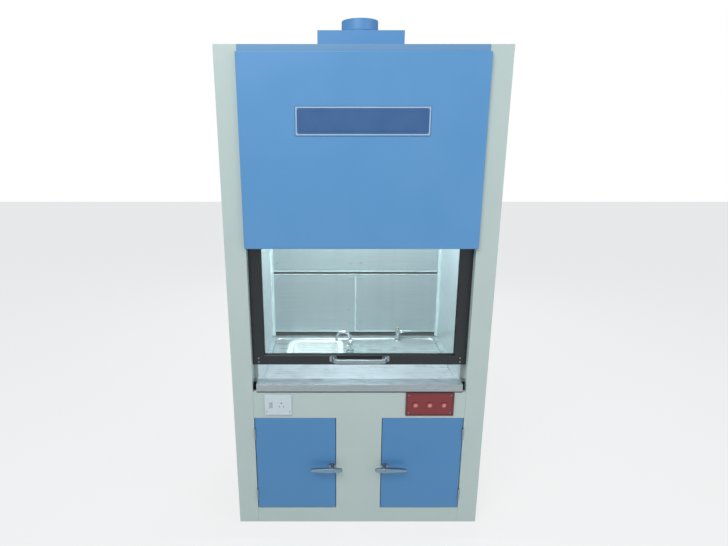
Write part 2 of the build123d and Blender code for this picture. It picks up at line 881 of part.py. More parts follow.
# Stand-off brackets between the baffles and the back lining
bracket_heights = (
    baffle_bottom_z + bracket_edge_inset + bracket_foot,
    baffle_slot_z - bracket_edge_inset - bracket_foot,
    upper_baffle_z + bracket_edge_inset + bracket_foot,
    baffle_bend_z - bracket_edge_inset - bracket_foot,
)
bracket_columns = (
    -baffle_half_width + bracket_seam_inset,
    -baffle_seam / 2 - bracket_seam_inset - bracket_width,
    baffle_seam / 2 + bracket_seam_inset,
    baffle_half_width - bracket_seam_inset - bracket_width,
)
with BuildPart() as baffle_brackets:
    for bracket_x in bracket_columns:
        with BuildSketch(across(bracket_x)):
            for bracket_z in bracket_heights:
                add(folded_sheet([
                    (depth(liner_back_depth - liner_sheet), bracket_z + bracket_foot),
                    (depth(liner_back_depth - liner_sheet), bracket_z),
                    (depth(baffle_depth + 2 * liner_sheet), bracket_z),
                    (depth(baffle_depth + 2 * liner_sheet), bracket_z + bracket_foot),
                ], liner_sheet, Side.LEFT))
        extrude(amount=bracket_width)
baffle_brackets.part.label = "baffle_brackets"
export_step(baffle_brackets.part, "parts/baffle_brackets.step")

# Exhaust throat from the chamber ceiling up through the roof, and the box on the roof that it opens into
throat_length = body_height + throat_above_roof - ceiling_z - liner_sheet
with BuildPart() as exhaust_plenum:
    with BuildSketch(level(ceiling_z + liner_sheet)):
        with Locations((0, depth(exhaust_depth))):
            Rectangle(throat_size + 2 * throat_flange, throat_size + 2 * throat_flange)
    extrude(amount=liner_sheet)
    with BuildSketch(level(ceiling_z + liner_sheet)):
        with Locations((0, depth(exhaust_depth))):
            Rectangle(throat_size, throat_size)
    extrude(amount=throat_length)
    with BuildSketch(level(ceiling_z + liner_sheet)):
        with Locations((0, depth(exhaust_depth))):
            Rectangle(throat_size - 2 * liner_sheet, throat_size - 2 * liner_sheet)
    extrude(amount=throat_length, mode=Mode.SUBTRACT)
    with BuildSketch(level(body_height)):
        with Locations((0, depth(exhaust_depth))):
            RectangleRounded(plenum_width, plenum_length, plenum_corner)
    extrude(amount=plenum_height)
    with BuildSketch(level(body_height + liner_sheet)):
        with Locations((0, depth(exhaust_depth))):
            Rectangle(plenum_width - 2 * liner_sheet, plenum_length - 2 * liner_sheet)
    extrude(amount=plenum_height - 2 * liner_sheet, mode=Mode.SUBTRACT)
    with BuildSketch(level(body_height)):
        with Locations((0, depth(exhaust_depth))):
            Rectangle(plenum_width - 2 * plenum_foot, plenum_length - 2 * plenum_foot)
    extrude(amount=liner_sheet, mode=Mode.SUBTRACT)
    with BuildSketch(level(body_height + plenum_height - liner_sheet)):
        with Locations((0, depth(exhaust_depth))):
            Circle(collar_bore)
    extrude(amount=liner_sheet, mode=Mode.SUBTRACT)
exhaust_plenum.part.label = "exhaust_plenum"
export_step(exhaust_plenum.part, "parts/exhaust_plenum.step")

# Round duct collar on the exhaust box
collar_z = body_height + plenum_height
with BuildPart() as exhaust_collar:
    with BuildSketch(level(collar_z)):
        with Locations((0, depth(exhaust_depth))):
            Circle(collar_flange_radius)
    extrude(amount=collar_flange_thick)
    with BuildSketch(level(collar_z)):
        with Locations((0, depth(exhaust_depth))):
            Circle(collar_radius)
    extrude(amount=collar_height)
    with BuildSketch(level(collar_z)):
        with Locations((0, depth(exhaust_depth))):
            Circle(collar_bore)
    extrude(amount=collar_height, mode=Mode.SUBTRACT)
exhaust_collar.part.label = "exhaust_collar"
export_step(exhaust_collar.part, "parts/exhaust_collar.step")

# Lamp housing over the ceiling window, with its two tube holders
lamp_base_z = ceiling_z + liner_sheet
lamp_top_z = lamp_base_z + lamp_height
lamp_tube_z = lamp_base_z + lamp_tube_height
with BuildPart() as lamp_housing:
    with BuildSketch(level(lamp_base_z)):
        with Locations((0, depth(lamp_depth))):
            Rectangle(lamp_length, lamp_width)
    extrude(amount=lamp_height)
    offset(amount=-liner_sheet, openings=lamp_housing.faces().sort_by(Axis.Z)[0])
    for side in (1, -1):
        with BuildSketch(level(lamp_tube_z - lamp_holder_foot)):
            with Locations((side * (lamp_tube_length + lamp_holder_thick) / 2, depth(lamp_depth))):
                Rectangle(lamp_holder_thick, lamp_holder_width)
        extrude(amount=lamp_top_z - liner_sheet - lamp_tube_z + lamp_holder_foot)
lamp_housing.part.label = "lamp_housing"
export_step(lamp_housing.part, "parts/lamp_housing.step")

with BuildPart() as lamp_tube:
    with BuildSketch(across(-lamp_tube_length / 2)):
        with Locations((depth(lamp_depth), lamp_tube_z)):
            Circle(lamp_tube_radius)
    extrude(amount=lamp_tube_length)
lamp_tube.part.label = "lamp_tube"
export_step(lamp_tube.part, "parts/lamp_tube.step")

with BuildPart() as lamp_glass:
    with BuildSketch(level(lamp_base_z)):
        with Locations((0, depth(lamp_depth))):
            Rectangle(lamp_length - lamp_glass_margin, lamp_width - lamp_glass_margin)
    extrude(amount=lamp_glass_thick)
lamp_glass.part.label = "lamp_glass"
export_step(lamp_glass.part, "parts/lamp_glass.step")

# Sash tracks, a channel behind each post that guides the sash edge
with BuildPart() as sash_tracks:
    with BuildSketch(level(rim_under_z)):
        add(folded_sheet([
            (opening_half, depth(track_front_depth + track_sheet)),
            (sash_half_width + track_clearance, depth(track_front_depth + track_sheet)),
            (sash_half_width + track_clearance, depth(track_back_depth - track_sheet)),
            (opening_half, depth(track_back_depth - track_sheet)),
        ], track_sheet, Side.RIGHT))
    extrude(amount=track_top_z - rim_under_z)
    mirror(about=Plane.YZ)
sash_tracks.part.label = "sash_tracks"
export_step(sash_tracks.part, "parts/sash_tracks.step")

# Sash frame: stiles hollowed from their outer edges, glazing groove, two cable lugs on the top rail
sash_top_z = sash_z + sash_height
front_cable_end_z = sash_top_z + lug_height + ferrule_height
with BuildPart() as sash_frame:
    with BuildSketch(upright(sash_back_depth)):
        with Locations((0, (sash_z + sash_top_z) / 2)):
            Rectangle(2 * sash_half_width, sash_height)
    extrude(amount=sash_thickness)
    with BuildSketch(upright(sash_back_depth)):
        with Locations((0, (window_bottom_z + window_top_z) / 2)):
            Rectangle(2 * window_half_width, window_top_z - window_bottom_z)
    extrude(amount=sash_thickness, mode=Mode.SUBTRACT)
    front_face = sash_frame.faces().sort_by(Axis.Y)[0]
    chamfer(front_face.inner_wires()[0].edges(), length=frame_edge_chamfer)
    groove_side = glass_bite + glass_groove_gap
    groove_width = glass_thickness + 2 * glass_groove_gap
    with BuildSketch(upright(sash_mid_depth + groove_width / 2)):
        with Locations((0, (window_bottom_z + window_top_z) / 2)):
            Rectangle(
                2 * (window_half_width + groove_side), window_top_z - window_bottom_z + 2 * groove_side
            )
    extrude(amount=groove_width, mode=Mode.SUBTRACT)
    with BuildSketch(level(sash_z + stile_wall)):
        for side in (1, -1):
            with Locations((side * (sash_half_width - stile_hollow / 2), depth(sash_mid_depth))):
                Rectangle(stile_hollow, sash_thickness - 2 * stile_wall)
    extrude(amount=sash_height - 2 * stile_wall, mode=Mode.SUBTRACT)
    for side in (1, -1):
        with BuildSketch(level(sash_top_z)):
            with Locations((side * cable_x, depth(sash_mid_depth))):
                Rectangle(lug_width, lug_thick)
        extrude(amount=lug_height)
        with BuildSketch(level(sash_top_z + lug_height)):
            with Locations((side * cable_x, depth(sash_mid_depth))):
                Circle(ferrule_radius)
        extrude(amount=ferrule_height)
sash_frame.part.label = "sash_frame"
export_step(sash_frame.part, "parts/sash_frame.step")

with BuildPart() as sash_glass:
    with BuildSketch(upright(sash_mid_depth + glass_thickness / 2)):
        with Locations((0, (window_bottom_z + window_top_z) / 2)):
            Rectangle(
                2 * (window_half_width + glass_bite), window_top_z - window_bottom_z + 2 * glass_bite
            )
    extrude(amount=glass_thickness)
sash_glass.part.label = "sash_glass"
export_step(sash_glass.part, "parts/sash_glass.step")

# Bow handle on the sash's bottom rail: a bent flat bar with a foot at each end
handle_half = (sash_handle_length - sash_handle_thick) / 2
handle_back_y = depth(sash_front_depth)
handle_front_y = depth(sash_front_depth - sash_handle_reach + sash_handle_thick / 2)
with BuildPart() as sash_handle:
    with BuildLine(level(sash_handle_z)) as handle_path:
        FilletPolyline(
            (-handle_half, handle_back_y),
            (-handle_half, handle_front_y),
            (handle_half, handle_front_y),
            (handle_half, handle_back_y),
            radius=sash_handle_corner,
        )
    with BuildSketch(Plane(origin=handle_path.line @ 0, x_dir=(1, 0, 0), z_dir=handle_path.line % 0)):
        RectangleRounded(sash_handle_thick, sash_handle_tall, sash_handle_edge)
    sweep(path=handle_path.line)
    with BuildSketch(upright(sash_front_depth)):
        with Locations((-handle_half, sash_handle_z), (handle_half, sash_handle_z)):
            RectangleRounded(handle_foot_width, handle_foot_tall, sash_handle_edge)
    extrude(amount=handle_foot_thick)
sash_handle.part.label = "sash_handle"
export_step(sash_handle.part, "parts/sash_handle.step")

# Counterweight bar behind the back lining, with its two cable ends
rear_cable_end_z = counterweight_top_z + ferrule_height
with BuildPart() as counterweight:
    with BuildSketch(level(counterweight_top_z - counterweight_height)):
        with Locations((0, depth(rear_cable_depth))):
            Rectangle(counterweight_width, counterweight_thick)
    extrude(amount=counterweight_height)
    with BuildSketch(level(counterweight_top_z)):
        with Locations((-cable_x, depth(rear_cable_depth)), (cable_x, depth(rear_cable_depth))):
            Circle(ferrule_radius)
    extrude(amount=ferrule_height)
counterweight.part.label = "counterweight"
export_step(counterweight.part, "parts/counterweight.step")

# Pulleys: a grooved wheel with its hub, turned about the shaft
groove_radius = pulley_pitch_radius - cable_radius - cable_gap


def pulley_profile():
    """Half section of a grooved pulley: local X along its axis, local Y outwards."""
    with BuildSketch(Plane.XY, mode=Mode.PRIVATE) as section:
        with BuildLine():
            Polyline(
                (-pulley_hub_thick / 2, shaft_radius + shaft_key_gap),
                (pulley_hub_thick / 2, shaft_radius + shaft_key_gap),
                (pulley_hub_thick / 2, pulley_hub_radius),
                (pulley_thick / 2, pulley_hub_radius),
                (pulley_thick / 2, pulley_flange_radius),
                (pulley_groove_mouth / 2, pulley_flange_radius),
                (pulley_groove_floor / 2, groove_radius),
                (-pulley_groove_floor / 2, groove_radius),
                (-pulley_groove_mouth / 2, pulley_flange_radius),
                (-pulley_thick / 2, pulley_flange_radius),
                (-pulley_thick / 2, pulley_hub_radius),
                (-pulley_hub_thick / 2, pulley_hub_radius),
                close=True,
            )
        make_face()
    return section.sketch


shaft_half_length = shaft_bracket_x + shaft_bracket_thick + shaft_overhang


def pulley_plane(side, pulley_depth):
    """Plane on a pulley's axis, local X along the shaft and local Y upwards."""
    return Plane(
        origin=(side * cable_x, depth(pulley_depth), pulley_z), x_dir=(1, 0, 0), z_dir=(0, -1, 0)
    )


with BuildPart() as front_pulleys:
    for side in (1, -1):
        with BuildSketch(pulley_plane(side, front_pulley_depth)):
            add(pulley_profile())
        revolve(axis=Axis((0, depth(front_pulley_depth), pulley_z), (1, 0, 0)))
    with BuildSketch(across(-shaft_half_length)):
        with Locations((depth(front_pulley_depth), pulley_z)):
            Circle(shaft_radius)
    extrude(amount=2 * shaft_half_length)
front_pulleys.part.label = "front_pulleys"
export_step(front_pulleys.part, "parts/front_pulleys.step")

with BuildPart() as rear_pulleys:
    for side in (1, -1):
        with BuildSketch(pulley_plane(side, rear_pulley_depth)):
            add(pulley_profile())
        revolve(axis=Axis((0, depth(rear_pulley_depth), pulley_z), (1, 0, 0)))
    with BuildSketch(across(-shaft_half_length)):
        with Locations((depth(rear_pulley_depth), pulley_z)):
            Circle(shaft_radius)
    extrude(amount=2 * shaft_half_length)
rear_pulleys.part.label = "rear_pulleys"
export_step(rear_pulleys.part, "parts/rear_pulleys.step")

# Shaft brackets hung from the roof, an upright with the bearing hole and a foot under the roof sheet
with BuildPart() as pulley_brackets:
    for pulley_depth in (front_pulley_depth, rear_pulley_depth):
        with BuildSketch(across(shaft_bracket_x)):
            with Locations((depth(pulley_depth), (roof_under_z + pulley_z - shaft_bracket_below) / 2)):
                Rectangle(shaft_bracket_width, roof_under_z - pulley_z + shaft_bracket_below)
            with Locations((depth(pulley_depth), pulley_z)):
                Circle(shaft_radius + shaft_fit_gap, mode=Mode.SUBTRACT)
        extrude(amount=shaft_bracket_thick)
        with BuildSketch(level(roof_under_z - shaft_bracket_thick)):
            with Locations((shaft_bracket_x + shaft_bracket_foot / 2, depth(pulley_depth))):
                Rectangle(shaft_bracket_foot, shaft_bracket_width)
        extrude(amount=shaft_bracket_thick)
    mirror(about=Plane.YZ)
pulley_brackets.part.label = "pulley_brackets"
export_step(pulley_brackets.part, "parts/pulley_brackets.step")

# Cables: the top span lies over both pulleys, the two upright runs lengthen and shorten
with BuildPart() as cable_spans:
    for side in (1, -1):
        with BuildLine(across(side * cable_x)) as span_path:
            front_bend = CenterArc((depth(front_pulley_depth), pulley_z), pulley_pitch_radius, 180, -90)
            top_run = Line(
                front_bend @ 1, (depth(rear_pulley_depth), pulley_z + pulley_pitch_radius)
            )
            CenterArc((depth(rear_pulley_depth), pulley_z), pulley_pitch_radius, 90, -90)
        with BuildSketch(level(pulley_z)):
            with Locations((side * cable_x, depth(sash_mid_depth))):
                Circle(cable_radius)
        sweep(path=span_path.line)
cable_spans.part.label = "cable_spans"
export_step(cable_spans.part, "parts/cable_spans.step")

with BuildPart() as front_cables:
    with BuildSketch(level(front_cable_end_z)):
        with Locations((-cable_x, depth(sash_mid_depth)), (cable_x, depth(sash_mid_depth))):
            Circle(cable_radius)
    extrude(amount=pulley_z - front_cable_end_z)
front_cables.part.label = "front_cables"
export_step(front_cables.part, "parts/front_cables.step")

with BuildPart() as rear_cables:
    with BuildSketch(level(rear_cable_end_z)):
        with Locations((-cable_x, depth(rear_cable_depth)), (cable_x, depth(rear_cable_depth))):
            Circle(cable_radius)
    extrude(amount=pulley_z - rear_cable_end_z)
rear_cables.part.label = "rear_cables"
export_step(rear_cables.part, "parts/rear_cables.step")

# Control plate with a raised border and three holes for the bezels
bezel_barrel_radius = button_radius + button_fit_gap + bezel_wall
button_places = [
    (plate_x + (index - (button_count - 1) / 2) * button_pitch, button_z) for index in range(button_count)
]
with BuildPart() as control_plate:
    with BuildSketch(upright(0)):
        with Locations((plate_x, plate_mid_z)):
            RectangleRounded(plate_width, plate_height, plate_corner)
    extrude(amount=plate_thick + plate_border_proud)
    with BuildSketch(upright(-plate_thick)):
        with Locations((plate_x, plate_mid_z)):
            Rectangle(plate_width - 2 * plate_border, plate_height - 2 * plate_border)
    extrude(amount=plate_border_proud, mode=Mode.SUBTRACT)
    with BuildSketch(upright(0)):
        with Locations(*button_places):
            Circle(bezel_barrel_radius + seat_gap / 2)
    extrude(amount=plate_thick, mode=Mode.SUBTRACT)
control_plate.part.label = "control_plate"
export_step(control_plate.part, "parts/control_plate.step")

# Button bezels: a flange on the plate and a barrel through it that guides the button
with BuildPart() as button_bezels:
    with BuildSketch(upright(-plate_thick)):
        with Locations(*button_places):
            Circle(bezel_radius)
            Circle(button_radius + button_fit_gap, mode=Mode.SUBTRACT)
    extrude(amount=bezel_thick)
    with BuildSketch(upright(bezel_length - plate_thick)):
        with Locations(*button_places):
            Circle(bezel_barrel_radius)
            Circle(button_radius + button_fit_gap, mode=Mode.SUBTRACT)
    extrude(amount=bezel_length)
button_bezels.part.label = "button_bezels"
export_step(button_bezels.part, "parts/button_bezels.step")

# Push buttons: a domed cap in the bezel and a stem into the switch block
button_front_depth = -plate_thick - bezel_thick - button_proud
button_back_depth = button_front_depth + button_length
block_front_depth = bezel_length - plate_thick


def cap_profile():
    """Half section of a button: local X backwards from the cap's crown, local Y outwards."""
    with BuildSketch(Plane.XY, mode=Mode.PRIVATE) as section:
        with BuildLine():
            Polyline(
                (button_dome, button_radius),
                (button_length, button_radius),
                (button_length, stem_radius),
                (button_length + stem_length, stem_radius),
                (button_length + stem_length, 0),
                (0, 0),
            )
            ThreePointArc((0, 0), (button_dome / 4, button_radius / 2), (button_dome, button_radius))
        make_face()
    return section.sketch


push_buttons = []
for button_index, (button_x, button_height) in enumerate(button_places, start=1):
    with BuildPart() as push_button:
        with BuildSketch(
            Plane(origin=(button_x, depth(button_front_depth), button_height), x_dir=(0, 1, 0), z_dir=(1, 0, 0))
        ):
            add(cap_profile())
        revolve(axis=Axis((button_x, depth(button_front_depth), button_height), (0, 1, 0)))
    push_button.part.label = f"push_button_{button_index}"
    export_step(push_button.part, f"parts/push_button_{button_index}.step")
    push_buttons.append(push_button)

# Boxes behind the control rail, and the switch blocks on the bezel barrels
block_hole_depth = button_back_depth + stem_length + button_travel + 1 - block_front_depth
with BuildPart() as rail_boxes:
    for box_x, box_z, box_width, box_height, box_depth in (
        (plate_x, rail_box_mid_z, rail_box_width, rail_box_height, rail_box_depth),
        (socket_x, socket_mid_z, socket_box_width, socket_box_height, socket_box_depth),
    ):
        with BuildSketch(upright(panel_sheet + box_depth)):
            with Locations((box_x, box_z)):
                Rectangle(box_width, box_height)
        extrude(amount=box_depth)
        with BuildSketch(upright(panel_sheet + box_depth - liner_sheet)):
            with Locations((box_x, box_z)):
                Rectangle(box_width - 2 * liner_sheet, box_height - 2 * liner_sheet)
        extrude(amount=box_depth - liner_sheet, mode=Mode.SUBTRACT)
    with BuildSketch(upright(block_front_depth + switch_block_length)):
        with Locations(*button_places):
            Rectangle(switch_block_size, switch_block_size)
    extrude(amount=switch_block_length)
    with BuildSketch(upright(block_front_depth + block_hole_depth)):
        with Locations(*button_places):
            Circle(stem_radius + button_fit_gap)
    extrude(amount=block_hole_depth, mode=Mode.SUBTRACT)
rail_boxes.part.label = "rail_boxes"
export_step(rail_boxes.part, "parts/rail_boxes.step")

# Socket plate: rounded body, rocker window with its pivot holes, round outlet with shuttered pin holes
rocker_x = socket_x + rocker_offset
outlet_x = socket_x + outlet_offset
window_half_height = rocker_radius + rocker_end_gap
with BuildPart() as socket_plate:
    with BuildSketch(upright(0)):
        with Locations((socket_x, socket_mid_z)):
            RectangleRounded(socket_width, socket_height, socket_corner)
    extrude(amount=socket_thick)
    fillet(socket_plate.faces().sort_by(Axis.Y)[0].edges(), radius=socket_edge)
    with BuildSketch(upright(-socket_thick)):
        with Locations((outlet_x, socket_mid_z)):
            Circle(outlet_radius)
    extrude(amount=outlet_proud)
    with BuildSketch(upright(-socket_thick - outlet_proud + outlet_recess)):
        with Locations((outlet_x, socket_mid_z + earth_hole_up)):
            Circle(earth_hole_radius)
        with Locations(
            (outlet_x - line_hole_spread, socket_mid_z - line_hole_down),
            (outlet_x + line_hole_spread, socket_mid_z - line_hole_down),
        ):
            Circle(line_hole_radius)
    extrude(amount=outlet_recess, mode=Mode.SUBTRACT)
    with BuildSketch(upright(0)):
        with Locations((rocker_x, socket_mid_z)):
            Rectangle(rocker_width + 2 * rocker_side_gap, 2 * window_half_height)
    extrude(amount=socket_thick, mode=Mode.SUBTRACT)
    trunnion_reach = rocker_width / 2 + rocker_side_gap + trunnion_hole_depth
    with BuildSketch(across(rocker_x - trunnion_reach)):
        with Locations((depth(-rocker_pivot_inset), socket_mid_z)):
            Circle(trunnion_radius + trunnion_fit_gap)
    extrude(amount=2 * trunnion_reach, mode=Mode.SUBTRACT)
socket_plate.part.label = "socket_plate"
export_step(socket_plate.part, "parts/socket_plate.step")

# Rocker: a shallow vee face on a round-ended body, turning on its own trunnions
rocker_pivot_y = depth(-rocker_pivot_inset)
rocker_lift = rocker_radius * math.tan(math.radians(rocker_tilt))
with BuildPart() as socket_rocker:
    with BuildSketch(across(rocker_x - rocker_width / 2)):
        with Locations((rocker_pivot_y, socket_mid_z)):
            Circle(rocker_radius)
        with BuildLine():
            Polyline(
                (rocker_pivot_y + rocker_back, socket_mid_z - rocker_radius),
                (rocker_pivot_y - rocker_front, socket_mid_z - rocker_radius),
                (rocker_pivot_y - rocker_front, socket_mid_z),
                (rocker_pivot_y - rocker_front - rocker_lift, socket_mid_z + rocker_radius),
                (rocker_pivot_y + rocker_back, socket_mid_z + rocker_radius),
                close=True,
            )
        make_face(mode=Mode.INTERSECT)
    extrude(amount=rocker_width)
    with BuildSketch(across(rocker_x - rocker_width / 2 - trunnion_length)):
        with Locations((rocker_pivot_y, socket_mid_z)):
            Circle(trunnion_radius)
    extrude(amount=rocker_width + 2 * trunnion_length)
socket_rocker.part.label = "socket_rocker"
export_step(socket_rocker.part, "parts/socket_rocker.step")

# Water tap: base, column, valve boss towards the user and a swan neck over the sink
tap_y = depth(tap_depth)
tap_top_z = dish_z + tap_column_height
tap_boss_z = dish_z + tap_boss_height
tap_boss_front_depth = tap_depth - tap_boss_length
with BuildPart() as tap_body:
    with BuildSketch(level(dish_z)):
        with Locations((tap_x, tap_y)):
            Circle(tap_base_radius)
    extrude(amount=tap_base_thick)
    fillet(tap_body.faces().sort_by(Axis.Z)[-1].edges(), radius=tap_base_thick / 2)
    with BuildSketch(level(dish_z)):
        with Locations((tap_x, tap_y)):
            Circle(tap_column_radius)
    extrude(amount=tap_column_height)
    with BuildSketch(level(dish_z - tap_tail_length)):
        with Locations((tap_x, tap_y)):
            Circle(tap_tail_radius)
    extrude(amount=tap_tail_length)
    with BuildSketch(upright(tap_depth)):
        with Locations((tap_x, tap_boss_z)):
            Circle(tap_boss_radius)
    extrude(amount=tap_boss_length)
    with BuildSketch(upright(tap_boss_front_depth)):
        with Locations((tap_x, tap_boss_z)):
            Circle(tap_spindle_radius)
    extrude(amount=tap_spindle_length)
    with BuildLine(Plane.XZ.offset(-tap_y)) as spout_path:
        Line((tap_x, tap_top_z - tap_spout_radius), (tap_x, tap_top_z))
        CenterArc((tap_x - tap_spout_bend, tap_top_z), tap_spout_bend, 0, 180)
        Line(
            (tap_x - 2 * tap_spout_bend, tap_top_z),
            (tap_x - 2 * tap_spout_bend, tap_top_z - tap_spout_drop),
        )
    with BuildSketch(level(tap_top_z - tap_spout_radius)):
        with Locations((tap_x, tap_y)):
            Circle(tap_spout_radius)
    sweep(path=spout_path.line)
    with BuildSketch(level(tap_top_z - tap_spout_drop)):
        with Locations((tap_x - 2 * tap_spout_bend, tap_y)):
            Circle(tap_nozzle_radius)
    extrude(amount=-tap_nozzle_length)
tap_body.part.label = "tap_body"
export_step(tap_body.part, "parts/tap_body.step")

# Tap handle: a lobed wheel on the valve spindle
tap_handle_back_depth = tap_boss_front_depth - seat_gap
with BuildPart() as tap_handle:
    with BuildSketch(upright(tap_handle_back_depth)):
        with Locations((tap_x, tap_boss_z)):
            Circle(tap_handle_hub)
            with PolarLocations(tap_handle_reach - tap_lobe_radius, tap_lobe_count):
                Circle(tap_lobe_radius)
            with PolarLocations((tap_handle_reach - tap_lobe_radius) / 2, tap_lobe_count):
                Rectangle(tap_handle_reach - tap_lobe_radius, 1.3 * tap_lobe_radius)
    extrude(amount=tap_handle_thick)
    fillet(tap_handle.faces().sort_by(Axis.Y)[0].edges(), radius=tap_handle_thick / 6)
    with BuildSketch(upright(tap_handle_back_depth)):
        with Locations((tap_x, tap_boss_z)):
            Circle(tap_spindle_radius + handle_fit_gap)
    extrude(amount=tap_spindle_length - seat_gap + handle_fit_gap, mode=Mode.SUBTRACT)
tap_handle.part.label = "tap_handle"
export_step(tap_handle.part, "parts/tap_handle.step")

# Gas cock: base, column, valve body, ribbed hose nozzle to the right and a spindle on top
gas_y = depth(gas_depth)
gas_nozzle_z = dish_z + gas_nozzle_height
gas_barb_start = gas_x + gas_body_radius + gas_neck_length


def nozzle_profile():
    """Half section of the hose nozzle: local X along the nozzle from the valve's centre, local Y outwards."""
    barbs = []
    for barb in range(gas_barb_count):
        barb_start = gas_body_radius + gas_neck_length + barb * gas_barb_pitch
        barbs.append((barb_start, gas_barb_large))
        barbs.append((barb_start + gas_barb_pitch, gas_barb_small))
    with BuildSketch(Plane.XY, mode=Mode.PRIVATE) as section:
        with BuildLine():
            Polyline(
                (0, 0),
                (0, gas_neck_radius),
                (gas_body_radius + gas_neck_length, gas_neck_radius),
                *barbs,
                (gas_body_radius + gas_neck_length + gas_barb_count * gas_barb_pitch, 0),
                close=True,
            )
        make_face()
    return section.sketch


with BuildPart() as gas_cock:
    with BuildSketch(level(dish_z)):
        with Locations((gas_x, gas_y)):
            Circle(gas_base_radius)
    extrude(amount=gas_base_thick)
    fillet(gas_cock.faces().sort_by(Axis.Z)[-1].edges(), radius=gas_base_thick / 2)
    with BuildSketch(level(dish_z - tap_tail_length)):
        with Locations((gas_x, gas_y)):
            Circle(gas_column_radius)
    extrude(amount=tap_tail_length + gas_nozzle_height)
    with BuildSketch(level(gas_nozzle_z - gas_body_radius)):
        with Locations((gas_x, gas_y)):
            Circle(gas_body_radius)
    extrude(amount=2 * gas_body_radius)
    gas_body_top = gas_cock.faces().sort_by(Axis.Z)[-1]
    fillet(gas_body_top.edges(), radius=gas_body_radius / 4)
    with BuildSketch(Plane(origin=(gas_x, gas_y, gas_nozzle_z), x_dir=(1, 0, 0), z_dir=(0, -1, 0))):
        add(nozzle_profile())
    revolve(axis=Axis((gas_x, gas_y, gas_nozzle_z), (1, 0, 0)))
    with BuildSketch(level(gas_nozzle_z + gas_body_radius)):
        with Locations((gas_x, gas_y)):
            Circle(gas_spindle_radius)
    extrude(amount=gas_spindle_length)
gas_cock.part.label = "gas_cock"
export_step(gas_cock.part, "parts/gas_cock.step")

# Gas lever on the spindle, lying across the nozzle when the gas is shut
gas_lever_z = gas_nozzle_z + gas_body_radius + seat_gap
with BuildPart() as gas_lever:
    with BuildSketch(level(gas_lever_z)):
        with Locations((gas_x, gas_y)):
            Circle(gas_lever_hub)
        with Locations((gas_x, gas_y - gas_lever_length / 2)):
            SlotOverall(gas_lever_length, gas_lever_width, rotation=90)
    extrude(amount=gas_lever_thick)
    fillet(gas_lever.faces().sort_by(Axis.Z)[-1].edges(), radius=gas_lever_thick / 5)
    with BuildSketch(level(gas_lever_z)):
        with Locations((gas_x, gas_y)):
            Circle(gas_spindle_radius + handle_fit_gap)
    extrude(amount=gas_lever_thick, mode=Mode.SUBTRACT)
gas_lever.part.label = "gas_lever"
export_step(gas_lever.part, "parts/gas_lever.step")

# Supply pipes: down from each fitting, back through the rear panel, ending in a threaded tail
tail_under_z = dish_z - tap_tail_length
pipe_collar_end_depth = body_depth + pipe_tail_collar
pipe_end_depth = body_depth + rear_stub


with BuildPart() as service_pipes:
    for pipe_x, fitting_depth, pipe_z, thread_radius in (
        (tap_x, tap_depth, water_pipe_z, water_tail_radius),
        (gas_x, gas_depth, gas_pipe_z, gas_tail_radius),
    ):
        with BuildLine(across(pipe_x)) as pipe_path:
            FilletPolyline(
                (depth(fitting_depth), tail_under_z),
                (depth(fitting_depth), pipe_z),
                (depth(body_depth), pipe_z),
                radius=pipe_bend,
            )
        with BuildSketch(level(tail_under_z)):
            with Locations((pipe_x, depth(fitting_depth))):
                Circle(pipe_radius)
        sweep(path=pipe_path.line)
        with BuildSketch(upright(pipe_collar_end_depth)):
            with Locations((pipe_x, pipe_z)):
                Circle(pipe_collar_radius)
        extrude(amount=pipe_tail_collar)
        with BuildSketch(upright(pipe_end_depth)):
            with Locations((pipe_x, pipe_z)):
                Circle(thread_radius)
        extrude(amount=rear_stub - pipe_tail_collar)
service_pipes.part.label = "service_pipes"
export_step(service_pipes.part, "parts/service_pipes.step")

# Cable gland in the rear panel
with BuildPart() as cable_gland:
    with BuildSketch(upright(body_depth + rear_stub)):
        with Locations((gland_x, gland_z)):
            Circle(gland_radius)
    extrude(amount=rear_stub + panel_sheet + gland_inner_length)
    with BuildSketch(upright(body_depth + gland_nut_thick)):
        with Locations((gland_x, gland_z)):
            RegularPolygon(gland_nut_radius, 6)
    extrude(amount=gland_nut_thick)
    with BuildSketch(upright(body_depth - panel_sheet)):
        with Locations((gland_x, gland_z)):
            RegularPolygon(gland_nut_radius, 6)
    extrude(amount=gland_inner_length / 2)
    with BuildSketch(upright(body_depth + rear_stub)):
        with Locations((gland_x, gland_z)):
            Circle(gland_bore)
    extrude(amount=rear_stub + panel_sheet + gland_inner_length, mode=Mode.SUBTRACT)
cable_gland.part.label = "cable_gland"
export_step(cable_gland.part, "parts/cable_gland.step")

# Domed screws that hold the rear panels to the rear returns
screw_x = half_width - screw_edge
upper_span = body_height - rear_joint_z - 2 * screw_end_inset
lower_span = rear_joint_z - 2 * screw_end_inset
screw_heights = [
    rear_joint_z + screw_end_inset + row * upper_span / (upper_screw_rows - 1) for row in range(upper_screw_rows)
]
screw_heights += [
    screw_end_inset + row * lower_span / (lower_screw_rows - 1) for row in range(lower_screw_rows)
]
with BuildPart() as panel_screws:
    with BuildSketch(upright(body_depth + screw_head_height)):
        for screw_z in screw_heights:
            with Locations((-screw_x, screw_z), (screw_x, screw_z)):
                Circle(screw_head_radius)
    extrude(amount=screw_head_height)
    chamfer(panel_screws.edges().group_by(Axis.Y)[-1], length=screw_head_height / 2)
panel_screws.part.label = "panel_screws"
export_step(panel_screws.part, "parts/panel_screws.step")

